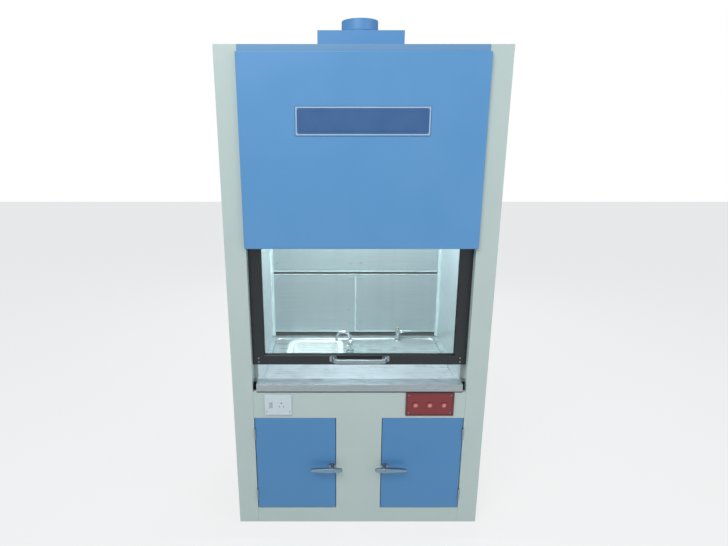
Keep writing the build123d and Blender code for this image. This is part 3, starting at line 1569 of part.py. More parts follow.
# Doors, each a folded outer tray with a pressed inner pan
door_outer_x = opening_half - door_hinge_gap
door_mid_x = (door_outer_x + door_inner_x) / 2
door_width = door_outer_x - door_inner_x
door_height = door_top_z - door_bottom_z - 2 * door_gap
door_mid_z = (door_top_z + door_bottom_z) / 2
spindle_hole_radius = latch_spindle_radius + latch_fit_gap
with BuildPart() as right_door_shell:
    with BuildSketch(upright(door_thick)):
        with Locations((door_mid_x, door_mid_z)):
            Rectangle(door_width, door_height)
    extrude(amount=door_thick)
    fillet(right_door_shell.faces().sort_by(Axis.Y)[0].edges(), radius=door_edge_radius)
    offset(amount=-door_sheet, openings=right_door_shell.faces().sort_by(Axis.Y)[-1])
    with BuildSketch(upright(door_sheet)):
        with Locations((lever_hub_x, lever_z)):
            Circle(latch_neck_radius)
    extrude(amount=door_sheet, mode=Mode.SUBTRACT)
right_door_shell.part.label = "right_door_shell"
export_step(right_door_shell.part, "parts/right_door_shell.step")

pan_width = door_width - 2 * door_sheet - 2 * seat_gap
pan_height = door_height - 2 * door_sheet - 2 * seat_gap
with BuildPart() as right_door_pan:
    with BuildSketch(upright(door_thick)):
        with Locations((door_mid_x, door_mid_z)):
            Rectangle(pan_width, pan_height)
    extrude(amount=pan_flange)
    offset(amount=-door_sheet, openings=right_door_pan.faces().sort_by(Axis.Y)[0])
    with BuildSketch(upright(door_thick)):
        with Locations((door_mid_x, door_mid_z)):
            RectangleRounded(
                pan_width - 2 * pan_press_margin, pan_height - 2 * pan_press_margin, pan_press_corner
            )
    extrude(amount=pan_press + door_sheet)
    with BuildSketch(upright(door_thick)):
        with Locations((door_mid_x, door_mid_z)):
            RectangleRounded(
                pan_width - 2 * pan_press_margin - 2 * door_sheet,
                pan_height - 2 * pan_press_margin - 2 * door_sheet,
                pan_press_corner - door_sheet,
            )
    extrude(amount=pan_press, mode=Mode.SUBTRACT)
    with BuildSketch(upright(door_thick)):
        with Locations((lever_hub_x, lever_z)):
            Circle(latch_neck_radius)
    extrude(amount=pan_flange, mode=Mode.SUBTRACT)
right_door_pan.part.label = "right_door_pan"
export_step(right_door_pan.part, "parts/right_door_pan.step")

with BuildPart() as left_door_shell:
    mirror(right_door_shell.part, about=Plane.YZ)
left_door_shell.part.label = "left_door_shell"
export_step(left_door_shell.part, "parts/left_door_shell.step")

with BuildPart() as left_door_pan:
    mirror(right_door_pan.part, about=Plane.YZ)
left_door_pan.part.label = "left_door_pan"
export_step(left_door_pan.part, "parts/left_door_pan.step")

# Hinges: frame leaves with the outer knuckles and the pins, and door leaves with the middle knuckle
hinge_x = opening_half - door_hinge_gap / 2
hinge_depth = -knuckle_radius - knuckle_proud
hinge_y = depth(hinge_depth)
knuckle_step = knuckle_length + knuckle_gap
with BuildPart() as frame_hinges:
    for hinge_z in hinge_heights:
        for step in (-1, 1):
            knuckle_z = hinge_z + step * knuckle_step - knuckle_length / 2
            with BuildSketch(level(knuckle_z)):
                with Locations((hinge_x, hinge_y)):
                    Circle(knuckle_radius)
                add(slab(opening_half - hinge_leaf_thick, opening_half, hinge_depth, frame_leaf_width))
                with Locations((hinge_x, hinge_y)):
                    Circle(hinge_pin_radius + hinge_pin_set, mode=Mode.SUBTRACT)
            extrude(amount=knuckle_length)
        with BuildSketch(level(hinge_z - knuckle_step)):
            add(slab(opening_half - hinge_leaf_thick, opening_half, 0, frame_leaf_width))
        extrude(amount=2 * knuckle_step)
        with BuildSketch(level(hinge_z - knuckle_step - knuckle_length / 2)):
            with Locations((hinge_x, hinge_y)):
                Circle(hinge_pin_radius)
        extrude(amount=2 * knuckle_step + knuckle_length)
    mirror(about=Plane.YZ)
    # Magnetic catches behind the top edge of each door, each with a foot on the control rail's fold
    catch_front = door_thick + strike_thick + seat_gap
    catch_foot_z = door_top_z + panel_sheet
    for side in (1, -1):
        with BuildSketch(across(side * catch_x - catch_width / 2)):
            with BuildLine():
                Polyline(
                    (depth(catch_front), door_top_z - catch_height),
                    (depth(catch_front + catch_length), door_top_z - catch_height),
                    (depth(catch_front + catch_length), catch_foot_z + catch_foot_thick),
                    (depth(frame_flange - catch_foot), catch_foot_z + catch_foot_thick),
                    (depth(frame_flange - catch_foot), catch_foot_z),
                    (depth(catch_front), catch_foot_z),
                    close=True,
                )
            make_face()
        extrude(amount=catch_width)
frame_hinges.part.label = "frame_hinges"
export_step(frame_hinges.part, "parts/frame_hinges.step")

# Fittings that swing with each door: hinge leaves, latch rose and the catch's strike plate
with BuildPart() as right_door_fittings:
    for hinge_z in hinge_heights:
        with BuildSketch(level(hinge_z - knuckle_length / 2)):
            with Locations((hinge_x, hinge_y)):
                Circle(knuckle_radius)
            add(slab(door_outer_x, door_outer_x + hinge_leaf_thick, hinge_depth, door_leaf_width))
            with Locations((hinge_x, hinge_y)):
                Circle(hinge_pin_radius + hinge_pin_fit, mode=Mode.SUBTRACT)
        extrude(amount=knuckle_length)
        with BuildSketch(level(hinge_z - knuckle_step - knuckle_length / 2)):
            add(slab(door_outer_x, door_outer_x + hinge_leaf_thick, door_edge_radius, door_leaf_width))
        extrude(amount=2 * knuckle_step + knuckle_length)
    with BuildSketch(upright(0)):
        with Locations((lever_hub_x, lever_z)):
            Circle(rose_radius)
            Circle(spindle_hole_radius, mode=Mode.SUBTRACT)
    extrude(amount=rose_thick)
    with BuildSketch(upright(door_thick + strike_thick)):
        with Locations((catch_x, door_top_z - door_gap - strike_height / 2)):
            Rectangle(strike_width, strike_height)
    extrude(amount=strike_thick)
right_door_fittings.part.label = "right_door_fittings"
export_step(right_door_fittings.part, "parts/right_door_fittings.step")

with BuildPart() as left_door_fittings:
    mirror(right_door_fittings.part, about=Plane.YZ)
left_door_fittings.part.label = "left_door_fittings"
export_step(left_door_fittings.part, "parts/left_door_fittings.step")

# Lever latch: shaped lever, neck, spindle through the door and the tongue behind it
lever_back_depth = -lever_standoff
tongue_front_depth = door_thick + tongue_gap
with BuildPart() as right_latch:
    with BuildSketch(upright(lever_back_depth)):
        with BuildLine():
            Polyline(
                (lever_inner_end_x + lever_inner_radius, lever_z + lever_inner_radius),
                (lever_hub_x, lever_z + lever_hub_radius),
                (lever_outer_end_x - lever_outer_radius, lever_z + lever_outer_radius),
                (lever_outer_end_x - lever_outer_radius, lever_z - lever_outer_radius),
                (lever_hub_x, lever_z - lever_hub_radius),
                (lever_inner_end_x + lever_inner_radius, lever_z - lever_inner_radius),
                close=True,
            )
        make_face()
        with Locations((lever_hub_x, lever_z)):
            Circle(lever_hub_radius)
        with Locations((lever_outer_end_x - lever_outer_radius, lever_z)):
            Circle(lever_outer_radius)
        with Locations((lever_inner_end_x + lever_inner_radius, lever_z)):
            Circle(lever_inner_radius)
    extrude(amount=lever_thick)
    fillet(right_latch.faces().sort_by(Axis.Y)[0].edges(), radius=lever_edge)
    with BuildSketch(upright(-rose_thick - seat_gap)):
        with Locations((lever_hub_x, lever_z)):
            Circle(latch_neck_radius)
    extrude(amount=lever_standoff - rose_thick - seat_gap)
    with BuildSketch(upright(tongue_front_depth + tongue_thick)):
        with Locations((lever_hub_x, lever_z)):
            Circle(latch_spindle_radius)
    extrude(amount=tongue_front_depth + tongue_thick + rose_thick + seat_gap)
    with BuildSketch(upright(tongue_front_depth + tongue_thick)):
        with Locations((lever_hub_x, lever_z - (tongue_length - tongue_width / 2) / 2)):
            SlotOverall(tongue_length + tongue_width / 2, tongue_width, rotation=90)
    extrude(amount=tongue_thick)
right_latch.part.label = "right_latch"
export_step(right_latch.part, "parts/right_latch.step")

with BuildPart() as left_latch:
    mirror(right_latch.part, about=Plane.YZ)
left_latch.part.label = "left_latch"
export_step(left_latch.part, "parts/left_latch.step")
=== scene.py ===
"""Laboratory fume hood: finishes, fine pieces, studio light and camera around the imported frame."""

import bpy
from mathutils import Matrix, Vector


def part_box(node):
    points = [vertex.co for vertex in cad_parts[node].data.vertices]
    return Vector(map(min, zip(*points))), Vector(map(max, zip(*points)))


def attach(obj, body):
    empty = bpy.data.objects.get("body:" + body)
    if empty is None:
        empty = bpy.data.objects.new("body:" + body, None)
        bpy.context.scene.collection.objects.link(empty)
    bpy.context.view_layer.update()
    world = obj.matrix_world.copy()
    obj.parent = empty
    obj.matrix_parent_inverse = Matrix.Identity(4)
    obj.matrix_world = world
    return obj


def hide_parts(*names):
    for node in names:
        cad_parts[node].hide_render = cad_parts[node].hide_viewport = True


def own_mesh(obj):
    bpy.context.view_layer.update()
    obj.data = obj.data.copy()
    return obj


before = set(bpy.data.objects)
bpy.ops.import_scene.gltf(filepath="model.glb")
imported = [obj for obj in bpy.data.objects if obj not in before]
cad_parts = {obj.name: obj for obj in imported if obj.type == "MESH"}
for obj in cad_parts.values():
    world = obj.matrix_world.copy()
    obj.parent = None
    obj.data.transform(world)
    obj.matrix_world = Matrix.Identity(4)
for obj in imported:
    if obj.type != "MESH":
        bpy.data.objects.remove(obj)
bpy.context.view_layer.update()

import logging
import math
from collections.abc import Callable, Iterable, Sequence
from dataclasses import dataclass
from enum import Enum

import bmesh
import bpy
from mathutils import Matrix, Vector

LOG = logging.getLogger("fume_hood")
MM = 0.001
FRONT_Y = -364 * MM

Point = tuple[float, float, float]
Colour = tuple[float, float, float, float]


def at(x: float, depth: float, z: float) -> Vector:
    """Point in the row frame.

    Args:
        x: millimetres to the right of the centre.
        depth: millimetres behind the front face of the posts.
        z: millimetres above the floor.

    Returns:
        The point in metres.
    """
    return Vector((x * MM, FRONT_Y + depth * MM, z * MM))


def linear(hex_colour: str) -> Colour:
    """Turn a written sRGB colour into the linear one that a shader takes.

    Args:
        hex_colour: six hexadecimal digits.

    Returns:
        Linear red, green, blue and an alpha of 1.
    """
    parts = [int(hex_colour[start:start + 2], 16) / 255 for start in (0, 2, 4)]
    red, green, blue = (p / 12.92 if p <= 0.04045 else ((p + 0.055) / 1.055) ** 2.4 for p in parts)
    return red, green, blue, 1.0


def add_node(
    tree: bpy.types.NodeTree, kind: str, inputs: dict | None = None, **settings: object
) -> bpy.types.Node:
    """Add one node with its settings and links.

    Args:
        tree: the node tree that takes the node.
        kind: the node's type, without its ShaderNode prefix.
        inputs: for each input, by name or number, either an output socket to link or a value.
        settings: the node's own properties.

    Returns:
        The new node.
    """
    node = tree.nodes.new("ShaderNode" + kind)
    for name, value in settings.items():
        setattr(node, name, value)
    for name, value in (inputs or {}).items():
        if isinstance(value, bpy.types.NodeSocket):
            tree.links.new(value, node.inputs[name])
        else:
            node.inputs[name].default_value = value
    return node


class Lay(Enum):
    """Way that a grain runs over the hood, as the stretch of its pattern along X, Y and Z."""

    EVEN = (1.0, 1.0, 1.0)
    SIDEWAYS = (0.012, 1.0, 1.0)  # from side to side
    UPRIGHT = (1.0, 1.0, 0.012)  # from bottom to top
    LENGTHWISE = (1.0, 0.012, 1.0)  # from front to back


@dataclass(frozen=True)
class Finish:
    """A surface finish, made once as a material and then shared.

    The fields hold what every finish has: its name, its main colour and how rough it is.
    """

    name: str
    colour: str
    roughness: float

    def material(self) -> bpy.types.Material:
        """Return this finish's material, building it on first use."""
        made = bpy.data.materials.get(self.name)
        if made is None:
            made = bpy.data.materials.new(self.name)
            made.use_nodes = True
            made.node_tree.nodes.clear()
            shader = self.shade(made.node_tree)
            add_node(made.node_tree, "OutputMaterial", {"Surface": shader.outputs[0]})
            made.diffuse_color = linear(self.colour)
        return made

    def pattern(
        self, tree: bpy.types.NodeTree, size_mm: float, lay: Lay = Lay.EVEN, detail: float = 3.0
    ) -> bpy.types.NodeSocket:
        """Lay an irregular pattern over the piece in its real size.

        Args:
            tree: the material's node tree.
            size_mm: how wide one patch or line of the pattern is.
            lay: the way that the pattern is drawn out.
            detail: how much finer structure it holds.

        Returns:
            The pattern's strength, from 0 to 1.
        """
        place = add_node(tree, "TexCoord")
        drawn = add_node(tree, "Mapping", {"Vector": place.outputs["Object"], "Scale": lay.value})
        spread = add_node(
            tree, "TexNoise", {"Vector": drawn.outputs[0], "Scale": 1 / (size_mm * MM), "Detail": detail}
        )
        return spread.outputs[0]

    def between(
        self, tree: bpy.types.NodeTree, strength: bpy.types.NodeSocket, low: float, high: float
    ) -> bpy.types.NodeSocket:
        """Turn a pattern's strength into a value.

        Args:
            tree: the material's node tree.
            strength: the pattern.
            low: the value where the pattern is weak.
            high: the value where it is strong.

        Returns:
            The value's socket.
        """
        limits = {"Value": strength, "From Min": 0.3, "From Max": 0.7, "To Min": low, "To Max": high}
        return add_node(tree, "MapRange", limits).outputs[0]

    def tinted(
        self, tree: bpy.types.NodeTree, strength: bpy.types.NodeSocket, other: str
    ) -> bpy.types.NodeSocket:
        """Shade from the main colour towards another where a pattern is strong.

        Args:
            tree: the material's node tree.
            strength: how much of the other colour shows.
            other: the other colour.

        Returns:
            The colour's socket.
        """
        colours = {0: strength, 6: linear(self.colour), 7: linear(other)}
        return add_node(tree, "Mix", colours, data_type="RGBA").outputs[2]

    def relief(
        self, tree: bpy.types.NodeTree, height: bpy.types.NodeSocket, depth_mm: float,
        under: bpy.types.NodeSocket | None = None,
    ) -> bpy.types.NodeSocket:
        """Raise a pattern as relief.

        Args:
            tree: the material's node tree.
            height: the pattern.
            depth_mm: how deep the relief is.
            under: relief that this one lies on, if any.

        Returns:
            The surface normal's socket.
        """
        inputs = {"Height": height, "Distance": depth_mm * MM, "Strength": 1.0}
        if under is not None:
            inputs["Normal"] = under
        return add_node(tree, "Bump", inputs).outputs[0]

    def shade(self, tree: bpy.types.NodeTree) -> bpy.types.Node:
        """Build the shader. Each kind of finish has its own."""
        raise NotImplementedError


@dataclass(frozen=True)
class PowderCoat(Finish):
    """Polyester powder coat on steel sheet, sprayed dry and baked.

    To the eye it is an even satin skin with a faint orange peel, a little dustier in broad patches.
    """

    dusty: str = "FFFFFF"
    peel_mm: float = 5.0
    patch_mm: float = 260.0

    def shade(self, tree: bpy.types.NodeTree) -> bpy.types.Node:
        """Build satin paint; the real peel is about 2 mm wide and is drawn at 5 mm so that it shows."""
        patches = self.pattern(tree, self.patch_mm)
        peel = self.pattern(tree, self.peel_mm, detail=1.0)
        return add_node(tree, "BsdfPrincipled", {
            "Base Color": self.tinted(tree, self.between(tree, patches, 0.0, 0.14), self.dusty),
            "Roughness": self.between(tree, patches, self.roughness - 0.05, self.roughness + 0.07),
            "Normal": self.relief(tree, peel, 0.05),
            "Coat Weight": 0.18,
            "Coat Roughness": 0.28,
            "IOR": 1.5,
        })


@dataclass(frozen=True)
class BrushedStainless(Finish):
    """Stainless sheet, belt brushed after rolling.

    To the eye it has fine lines along the sheet, soft smears of handling and a slightly uneven, wavy gloss.
    """

    smear: str = "8FA3AA"
    lay: Lay = Lay.SIDEWAYS
    line_mm: float = 3.0
    wave_mm: float = 150.0
    mirror: float = 0.75

    def shade(self, tree: bpy.types.NodeTree) -> bpy.types.Node:
        """Build brushed metal, whose fine brushing scatters what it doesn't mirror.

        The real lines are under 0.3 mm apart and are drawn at 3 mm so that they show.
        """
        lines = self.pattern(tree, self.line_mm, self.lay, 2.0)
        smears = self.pattern(tree, 120.0, detail=2.0)
        waves = self.pattern(tree, self.wave_mm, detail=0.0)
        wavy = self.relief(tree, waves, 1.0)
        rough = add_node(tree, "Math", {
            0: self.between(tree, lines, self.roughness - 0.06, self.roughness + 0.06),
            1: self.between(tree, smears, -0.03, 0.05),
        }, operation="ADD")
        return add_node(tree, "BsdfPrincipled", {
            "Base Color": self.tinted(tree, self.between(tree, lines, 0.0, 0.70), self.smear),
            "Metallic": self.mirror,
            "Roughness": rough.outputs[0],
            "Normal": self.relief(tree, lines, 0.09, wavy),
        })


@dataclass(frozen=True)
class PlatedMetal(Finish):
    """Metal with a thin plated or polished skin, such as chrome, zinc or satin nickel.

    To the eye it is smooth, with faint spots where fingers and water have dulled it.
    """

    dull: str = "808890"
    spot_mm: float = 14.0

    def shade(self, tree: bpy.types.NodeTree) -> bpy.types.Node:
        """Build plated metal with dull spots of real finger size."""
        spots = self.pattern(tree, self.spot_mm, detail=5.0)
        return add_node(tree, "BsdfPrincipled", {
            "Base Color": self.tinted(tree, self.between(tree, spots, 0.0, 0.4), self.dull),
            "Metallic": 1.0,
            "Roughness": self.between(tree, spots, self.roughness, self.roughness + 0.09),
            "Normal": self.relief(tree, spots, 0.03),
        })


@dataclass(frozen=True)
class AnodisedAluminium(Finish):
    """Extruded aluminium, black anodised.

    To the eye it is near black with the faint drawn lines of the extrusion and a grey sheen, painted into
    its colour as lighter patches laid over scuffs.
    """

    sheen: str = "5A6164"
    lay: Lay = Lay.EVEN

    def shade(self, tree: bpy.types.NodeTree) -> bpy.types.Node:
        """Build dyed oxide over metal; its real 0.5 mm lines are drawn at 2.5 mm so that they show."""
        lines = self.pattern(tree, 2.5, self.lay, 2.0)
        # Lighter grey patches: painted sheen, laid over scuffs.
        scuffs_and_sheen = self.pattern(tree, 45.0, detail=6.0)
        return add_node(tree, "BsdfPrincipled", {
            "Base Color": self.tinted(tree, self.between(tree, scuffs_and_sheen, 0.0, 0.35), self.sheen),
            "Metallic": 0.55,
            "Roughness": self.between(tree, lines, self.roughness - 0.05, self.roughness + 0.08),
            "Normal": self.relief(tree, lines, 0.04),
        })


@dataclass(frozen=True)
class Moulding(Finish):
    """Moulded plastic or rubber.

    To the eye it has a fine spark texture from the mould and a soft highlight.
    """

    worn: str = "FFFFFF"
    grain_mm: float = 2.0
    glow: float = 0.0
    ior: float = 1.49

    def shade(self, tree: bpy.types.NodeTree) -> bpy.types.Node:
        """Build moulded plastic, lit from inside where the real piece holds a lamp."""
        grain = self.pattern(tree, self.grain_mm, detail=2.0)
        patches = self.pattern(tree, 18.0)
        colour = self.tinted(tree, self.between(tree, patches, 0.0, 0.16), self.worn)
        return add_node(tree, "BsdfPrincipled", {
            "Base Color": colour,
            "Roughness": self.between(tree, grain, self.roughness - 0.05, self.roughness + 0.06),
            "Normal": self.relief(tree, grain, 0.02),
            "Emission Color": colour,
            "Emission Strength": self.glow,
            "IOR": self.ior,
        })


@dataclass(frozen=True)
class FloatGlass(Finish):
    """Toughened float glass.

    To the eye it is clear with a faint green-grey tint, a mirror-like skin and a few wiped streaks.
    """

    def shade(self, tree: bpy.types.NodeTree) -> bpy.types.Node:
        """Build a thin clear pane that mirrors more at a glance; its streaks follow the wiping cloth."""
        streaks = self.pattern(tree, 24.0, Lay.UPRIGHT, 4.0)
        colour = self.tinted(tree, self.between(tree, streaks, 0.0, 0.08), "C9D6D6")
        gloss = add_node(tree, "BsdfGlossy", {
            "Color": linear("FFFFFF"),
            "Roughness": self.between(tree, streaks, self.roughness, self.roughness + 0.05),
        })
        clear = add_node(tree, "BsdfTransparent", {"Color": colour})
        facing = add_node(tree, "LayerWeight", {"Blend": 0.5})
        steep = add_node(tree, "Math", {0: facing.outputs["Facing"], 1: 4.0}, operation="POWER")
        shine = add_node(tree, "MapRange", {"Value": steep.outputs[0], "To Min": 0.04, "To Max": 0.60})
        return add_node(tree, "MixShader", {
            0: shine.outputs[0], 1: clear.outputs[0], 2: gloss.outputs[0],
        })


# Powder coat: an even satin skin that softens every edge of the sheet metal
PALE_COAT = PowderCoat("pale_polyester_powder_coat", "C3D2CD", 0.42, dusty="AEBDB8")
BLUE_COAT = PowderCoat("blue_polyester_powder_coat", "5A97CC", 0.40, dusty="78ABD8")
ROOF_COAT = PowderCoat("blue_roof_powder_coat", "6C9BC2", 0.45, dusty="88ACC8")
# The doors' blue is the fascia's blue coat darkened: painted shade, as the light from above falls off lower
# down.
SHADED_DOOR_COAT = PowderCoat("blue_powder_coat_painted_shade", "4C8ABF", 0.40, dusty="6A9DCC")

# Stoved enamel: a harder, slightly glossier skin on the small plates
BADGE_EDGE = PowderCoat("plate_edge_enamel", "A9C3DE", 0.35, dusty="C2D4E8", patch_mm=60.0)
BADGE_FIELD = PowderCoat("plate_field_enamel", "3A6396", 0.35, dusty="4A73A4", patch_mm=60.0)
RED_COAT = PowderCoat("red_stoved_enamel", "84282C", 0.33, dusty="96383C", patch_mm=70.0)
# A darker red ring laid round the control plate's edge.
RED_EDGE = PowderCoat("dark_red_plate_rim", "622A2C", 0.40, dusty="6E383A", patch_mm=70.0)
WHITE_COAT = PowderCoat("white_stoved_enamel", "E6E8E6", 0.40, dusty="CDD2D0")

# Brushed stainless: a cool sheen drawn out along the brushing; the bowl is a near-white copy of it with
# painted light, and the coves a brighter copy with painted highlights
WALL_STEEL = BrushedStainless("brushed_stainless_lining", "AAB4B8", 0.36, smear="9CA9AF", mirror=0.6)
SIDE_STEEL = BrushedStainless(
    "brushed_stainless_sides", "B9C2C5", 0.38, smear="A9B5BA", lay=Lay.LENGTHWISE, mirror=0.45
)
TOP_STEEL = BrushedStainless("brushed_stainless_worktop", "AEB7BA", 0.30, smear="9BA8AE", mirror=0.6)
# The bowl and its bead: a near-white copy of the stainless, painted light where the chamber's lamp falls
# into the sink.
LIT_BOWL_STEEL = BrushedStainless(
    "stainless_bowl_painted_light", "E6E8E8", 0.26, smear="D2D8DA", line_mm=2.0, mirror=0.3
)
# Coves, hems and the joint strip: a brighter copy of the stainless, painted highlights along the corners,
# folded edges and seam.
HIGHLIGHT_STEEL = BrushedStainless("stainless_painted_highlight", "DCE8EA", 0.20, lay=Lay.UPRIGHT, mirror=0.5)

# Plated and drawn metal: smooth, from mirror-bright chrome to dark oiled bar
ZINC = PlatedMetal("zinc_plated_steel", "A9AFB2", 0.38, dull="7E8588", spot_mm=20.0)
CHROME = PlatedMetal("chrome_plated_brass", "D4D9DC", 0.10, dull="9AA2A8")
SATIN_NICKEL = PlatedMetal("satin_nickel_plate", "9FAAB0", 0.30, dull="76838A")
# The levers' blue-grey tint is a painted reflection of the blue doors.
SATIN_LEVER = PlatedMetal("satin_steel_lever_blue_reflection", "8AA3B5", 0.28, dull="647A8A")
RED_RING = PlatedMetal("red_lacquered_ring", "9C5254", 0.35, dull="7A3C3E")
BAR_STEEL = PlatedMetal("oiled_bar_steel", "5C5F62", 0.42, dull="3E4144", spot_mm=30.0)
COPPER = PlatedMetal("drawn_copper_tube", "B87A58", 0.30, dull="7C4F3C")
WIRE_ROPE = PlatedMetal("steel_wire_rope", "8B8F92", 0.40, dull="55595C", spot_mm=3.0)
BLACK_FRAME = AnodisedAluminium("black_anodised_aluminium", "24282A", 0.38)

# Rubber and moulded plastic: matt where it seals, soft highlights where a hand goes
BLACK_RUBBER = Moulding("black_silicone_rubber", "16181A", 0.62, worn="2C3032")
BLACK_NYLON = Moulding("black_moulded_nylon", "1C1E20", 0.48, worn="34383A")
WHITE_ABS = Moulding("white_moulded_abs", "D8E1E6", 0.30, worn="C3CED4")
# The rocker is the plate's white plastic darkened: painted shade of the switch's recess.
ROCKER_ABS = Moulding("white_abs_painted_shade", "B7C2C9", 0.32, worn="A4B0B8")
GREY_ABS = Moulding("grey_moulded_abs", "8D9AA0", 0.35, worn="78858B")
# Dark discs at the socket's pin slots: painted shade of the pin holes.
PIN_SHADE = Moulding("pin_hole_painted_shade", "3A4044", 0.50, worn="50575B")
WASTE_PLASTIC = Moulding("white_moulded_polypropylene", "D9DDDA", 0.45, worn="BFC5C2")
YELLOW_INSERT = Moulding("yellow_moulded_insert", "D8B13A", 0.35, worn="C09A2E")
GREEN_INSERT = Moulding("green_moulded_insert", "3E8A58", 0.35, worn="357A4D")

# Lit pieces: the buttons' lenses glow faintly and the chamber's tube brightly
RED_LENS = Moulding("lit_rose_acrylic", "CC8482", 0.22, worn="DDA5A2", glow=0.08)
LAMP_GLOW = Moulding("lit_phosphor_tube", "F4F8FF", 0.30, worn="FFFFFF", glow=3.0)

SASH_GLASS = FloatGlass("toughened_float_glass", "F4FAF9", 0.02)

NODE_FINISHES: dict[str, Finish] = {
    "left_side_panel": PALE_COAT, "right_side_panel": PALE_COAT, "rear_panels": PALE_COAT,
    "roof_panel": ROOF_COAT, "base_front_frame": PALE_COAT, "base_floor": PALE_COAT,
    "base_runners": ZINC, "worktop_bearers": ZINC, "pulley_brackets": ZINC, "rail_boxes": ZINC,
    "panel_screws": ZINC, "fascia_panel": BLUE_COAT, "exhaust_plenum": BLUE_COAT,
    "exhaust_collar": BLUE_COAT, "fascia_plate": BADGE_FIELD, "worktop": TOP_STEEL,
    "sink_bowl": LIT_BOWL_STEEL, "sink_trap": WASTE_PLASTIC, "left_liner": SIDE_STEEL,
    "right_liner": SIDE_STEEL, "back_liner": WALL_STEEL, "ceiling_liner": WALL_STEEL,
    "lower_baffles": WALL_STEEL, "upper_baffle": WALL_STEEL, "baffle_brackets": WALL_STEEL,
    "lamp_housing": WHITE_COAT, "lamp_tube": LAMP_GLOW, "lamp_glass": SASH_GLASS,
    "sash_tracks": PALE_COAT, "cable_spans": WIRE_ROPE, "front_cables": WIRE_ROPE,
    "rear_cables": WIRE_ROPE, "control_plate": RED_COAT, "button_bezels": RED_RING,
    "socket_plate": WHITE_ABS, "service_pipes": COPPER, "tap_body": CHROME, "gas_cock": CHROME,
    "cable_gland": BLACK_NYLON, "frame_hinges": SATIN_NICKEL, "sash_frame": BLACK_FRAME,
    "sash_glass": SASH_GLASS, "sash_handle": SATIN_NICKEL, "counterweight": BAR_STEEL,
    "front_pulleys": BLACK_NYLON, "rear_pulleys": BLACK_NYLON, "tap_handle": CHROME,
    "gas_lever": CHROME, "left_door_shell": SHADED_DOOR_COAT, "right_door_shell": SHADED_DOOR_COAT,
    "left_door_pan": SHADED_DOOR_COAT, "right_door_pan": SHADED_DOOR_COAT, "left_door_fittings": SATIN_NICKEL,
    "right_door_fittings": SATIN_NICKEL, "left_latch": SATIN_LEVER, "right_latch": SATIN_LEVER,
    "push_button_1": RED_LENS, "push_button_2": RED_LENS, "push_button_3": RED_LENS,
    "socket_rocker": ROCKER_ABS,
}


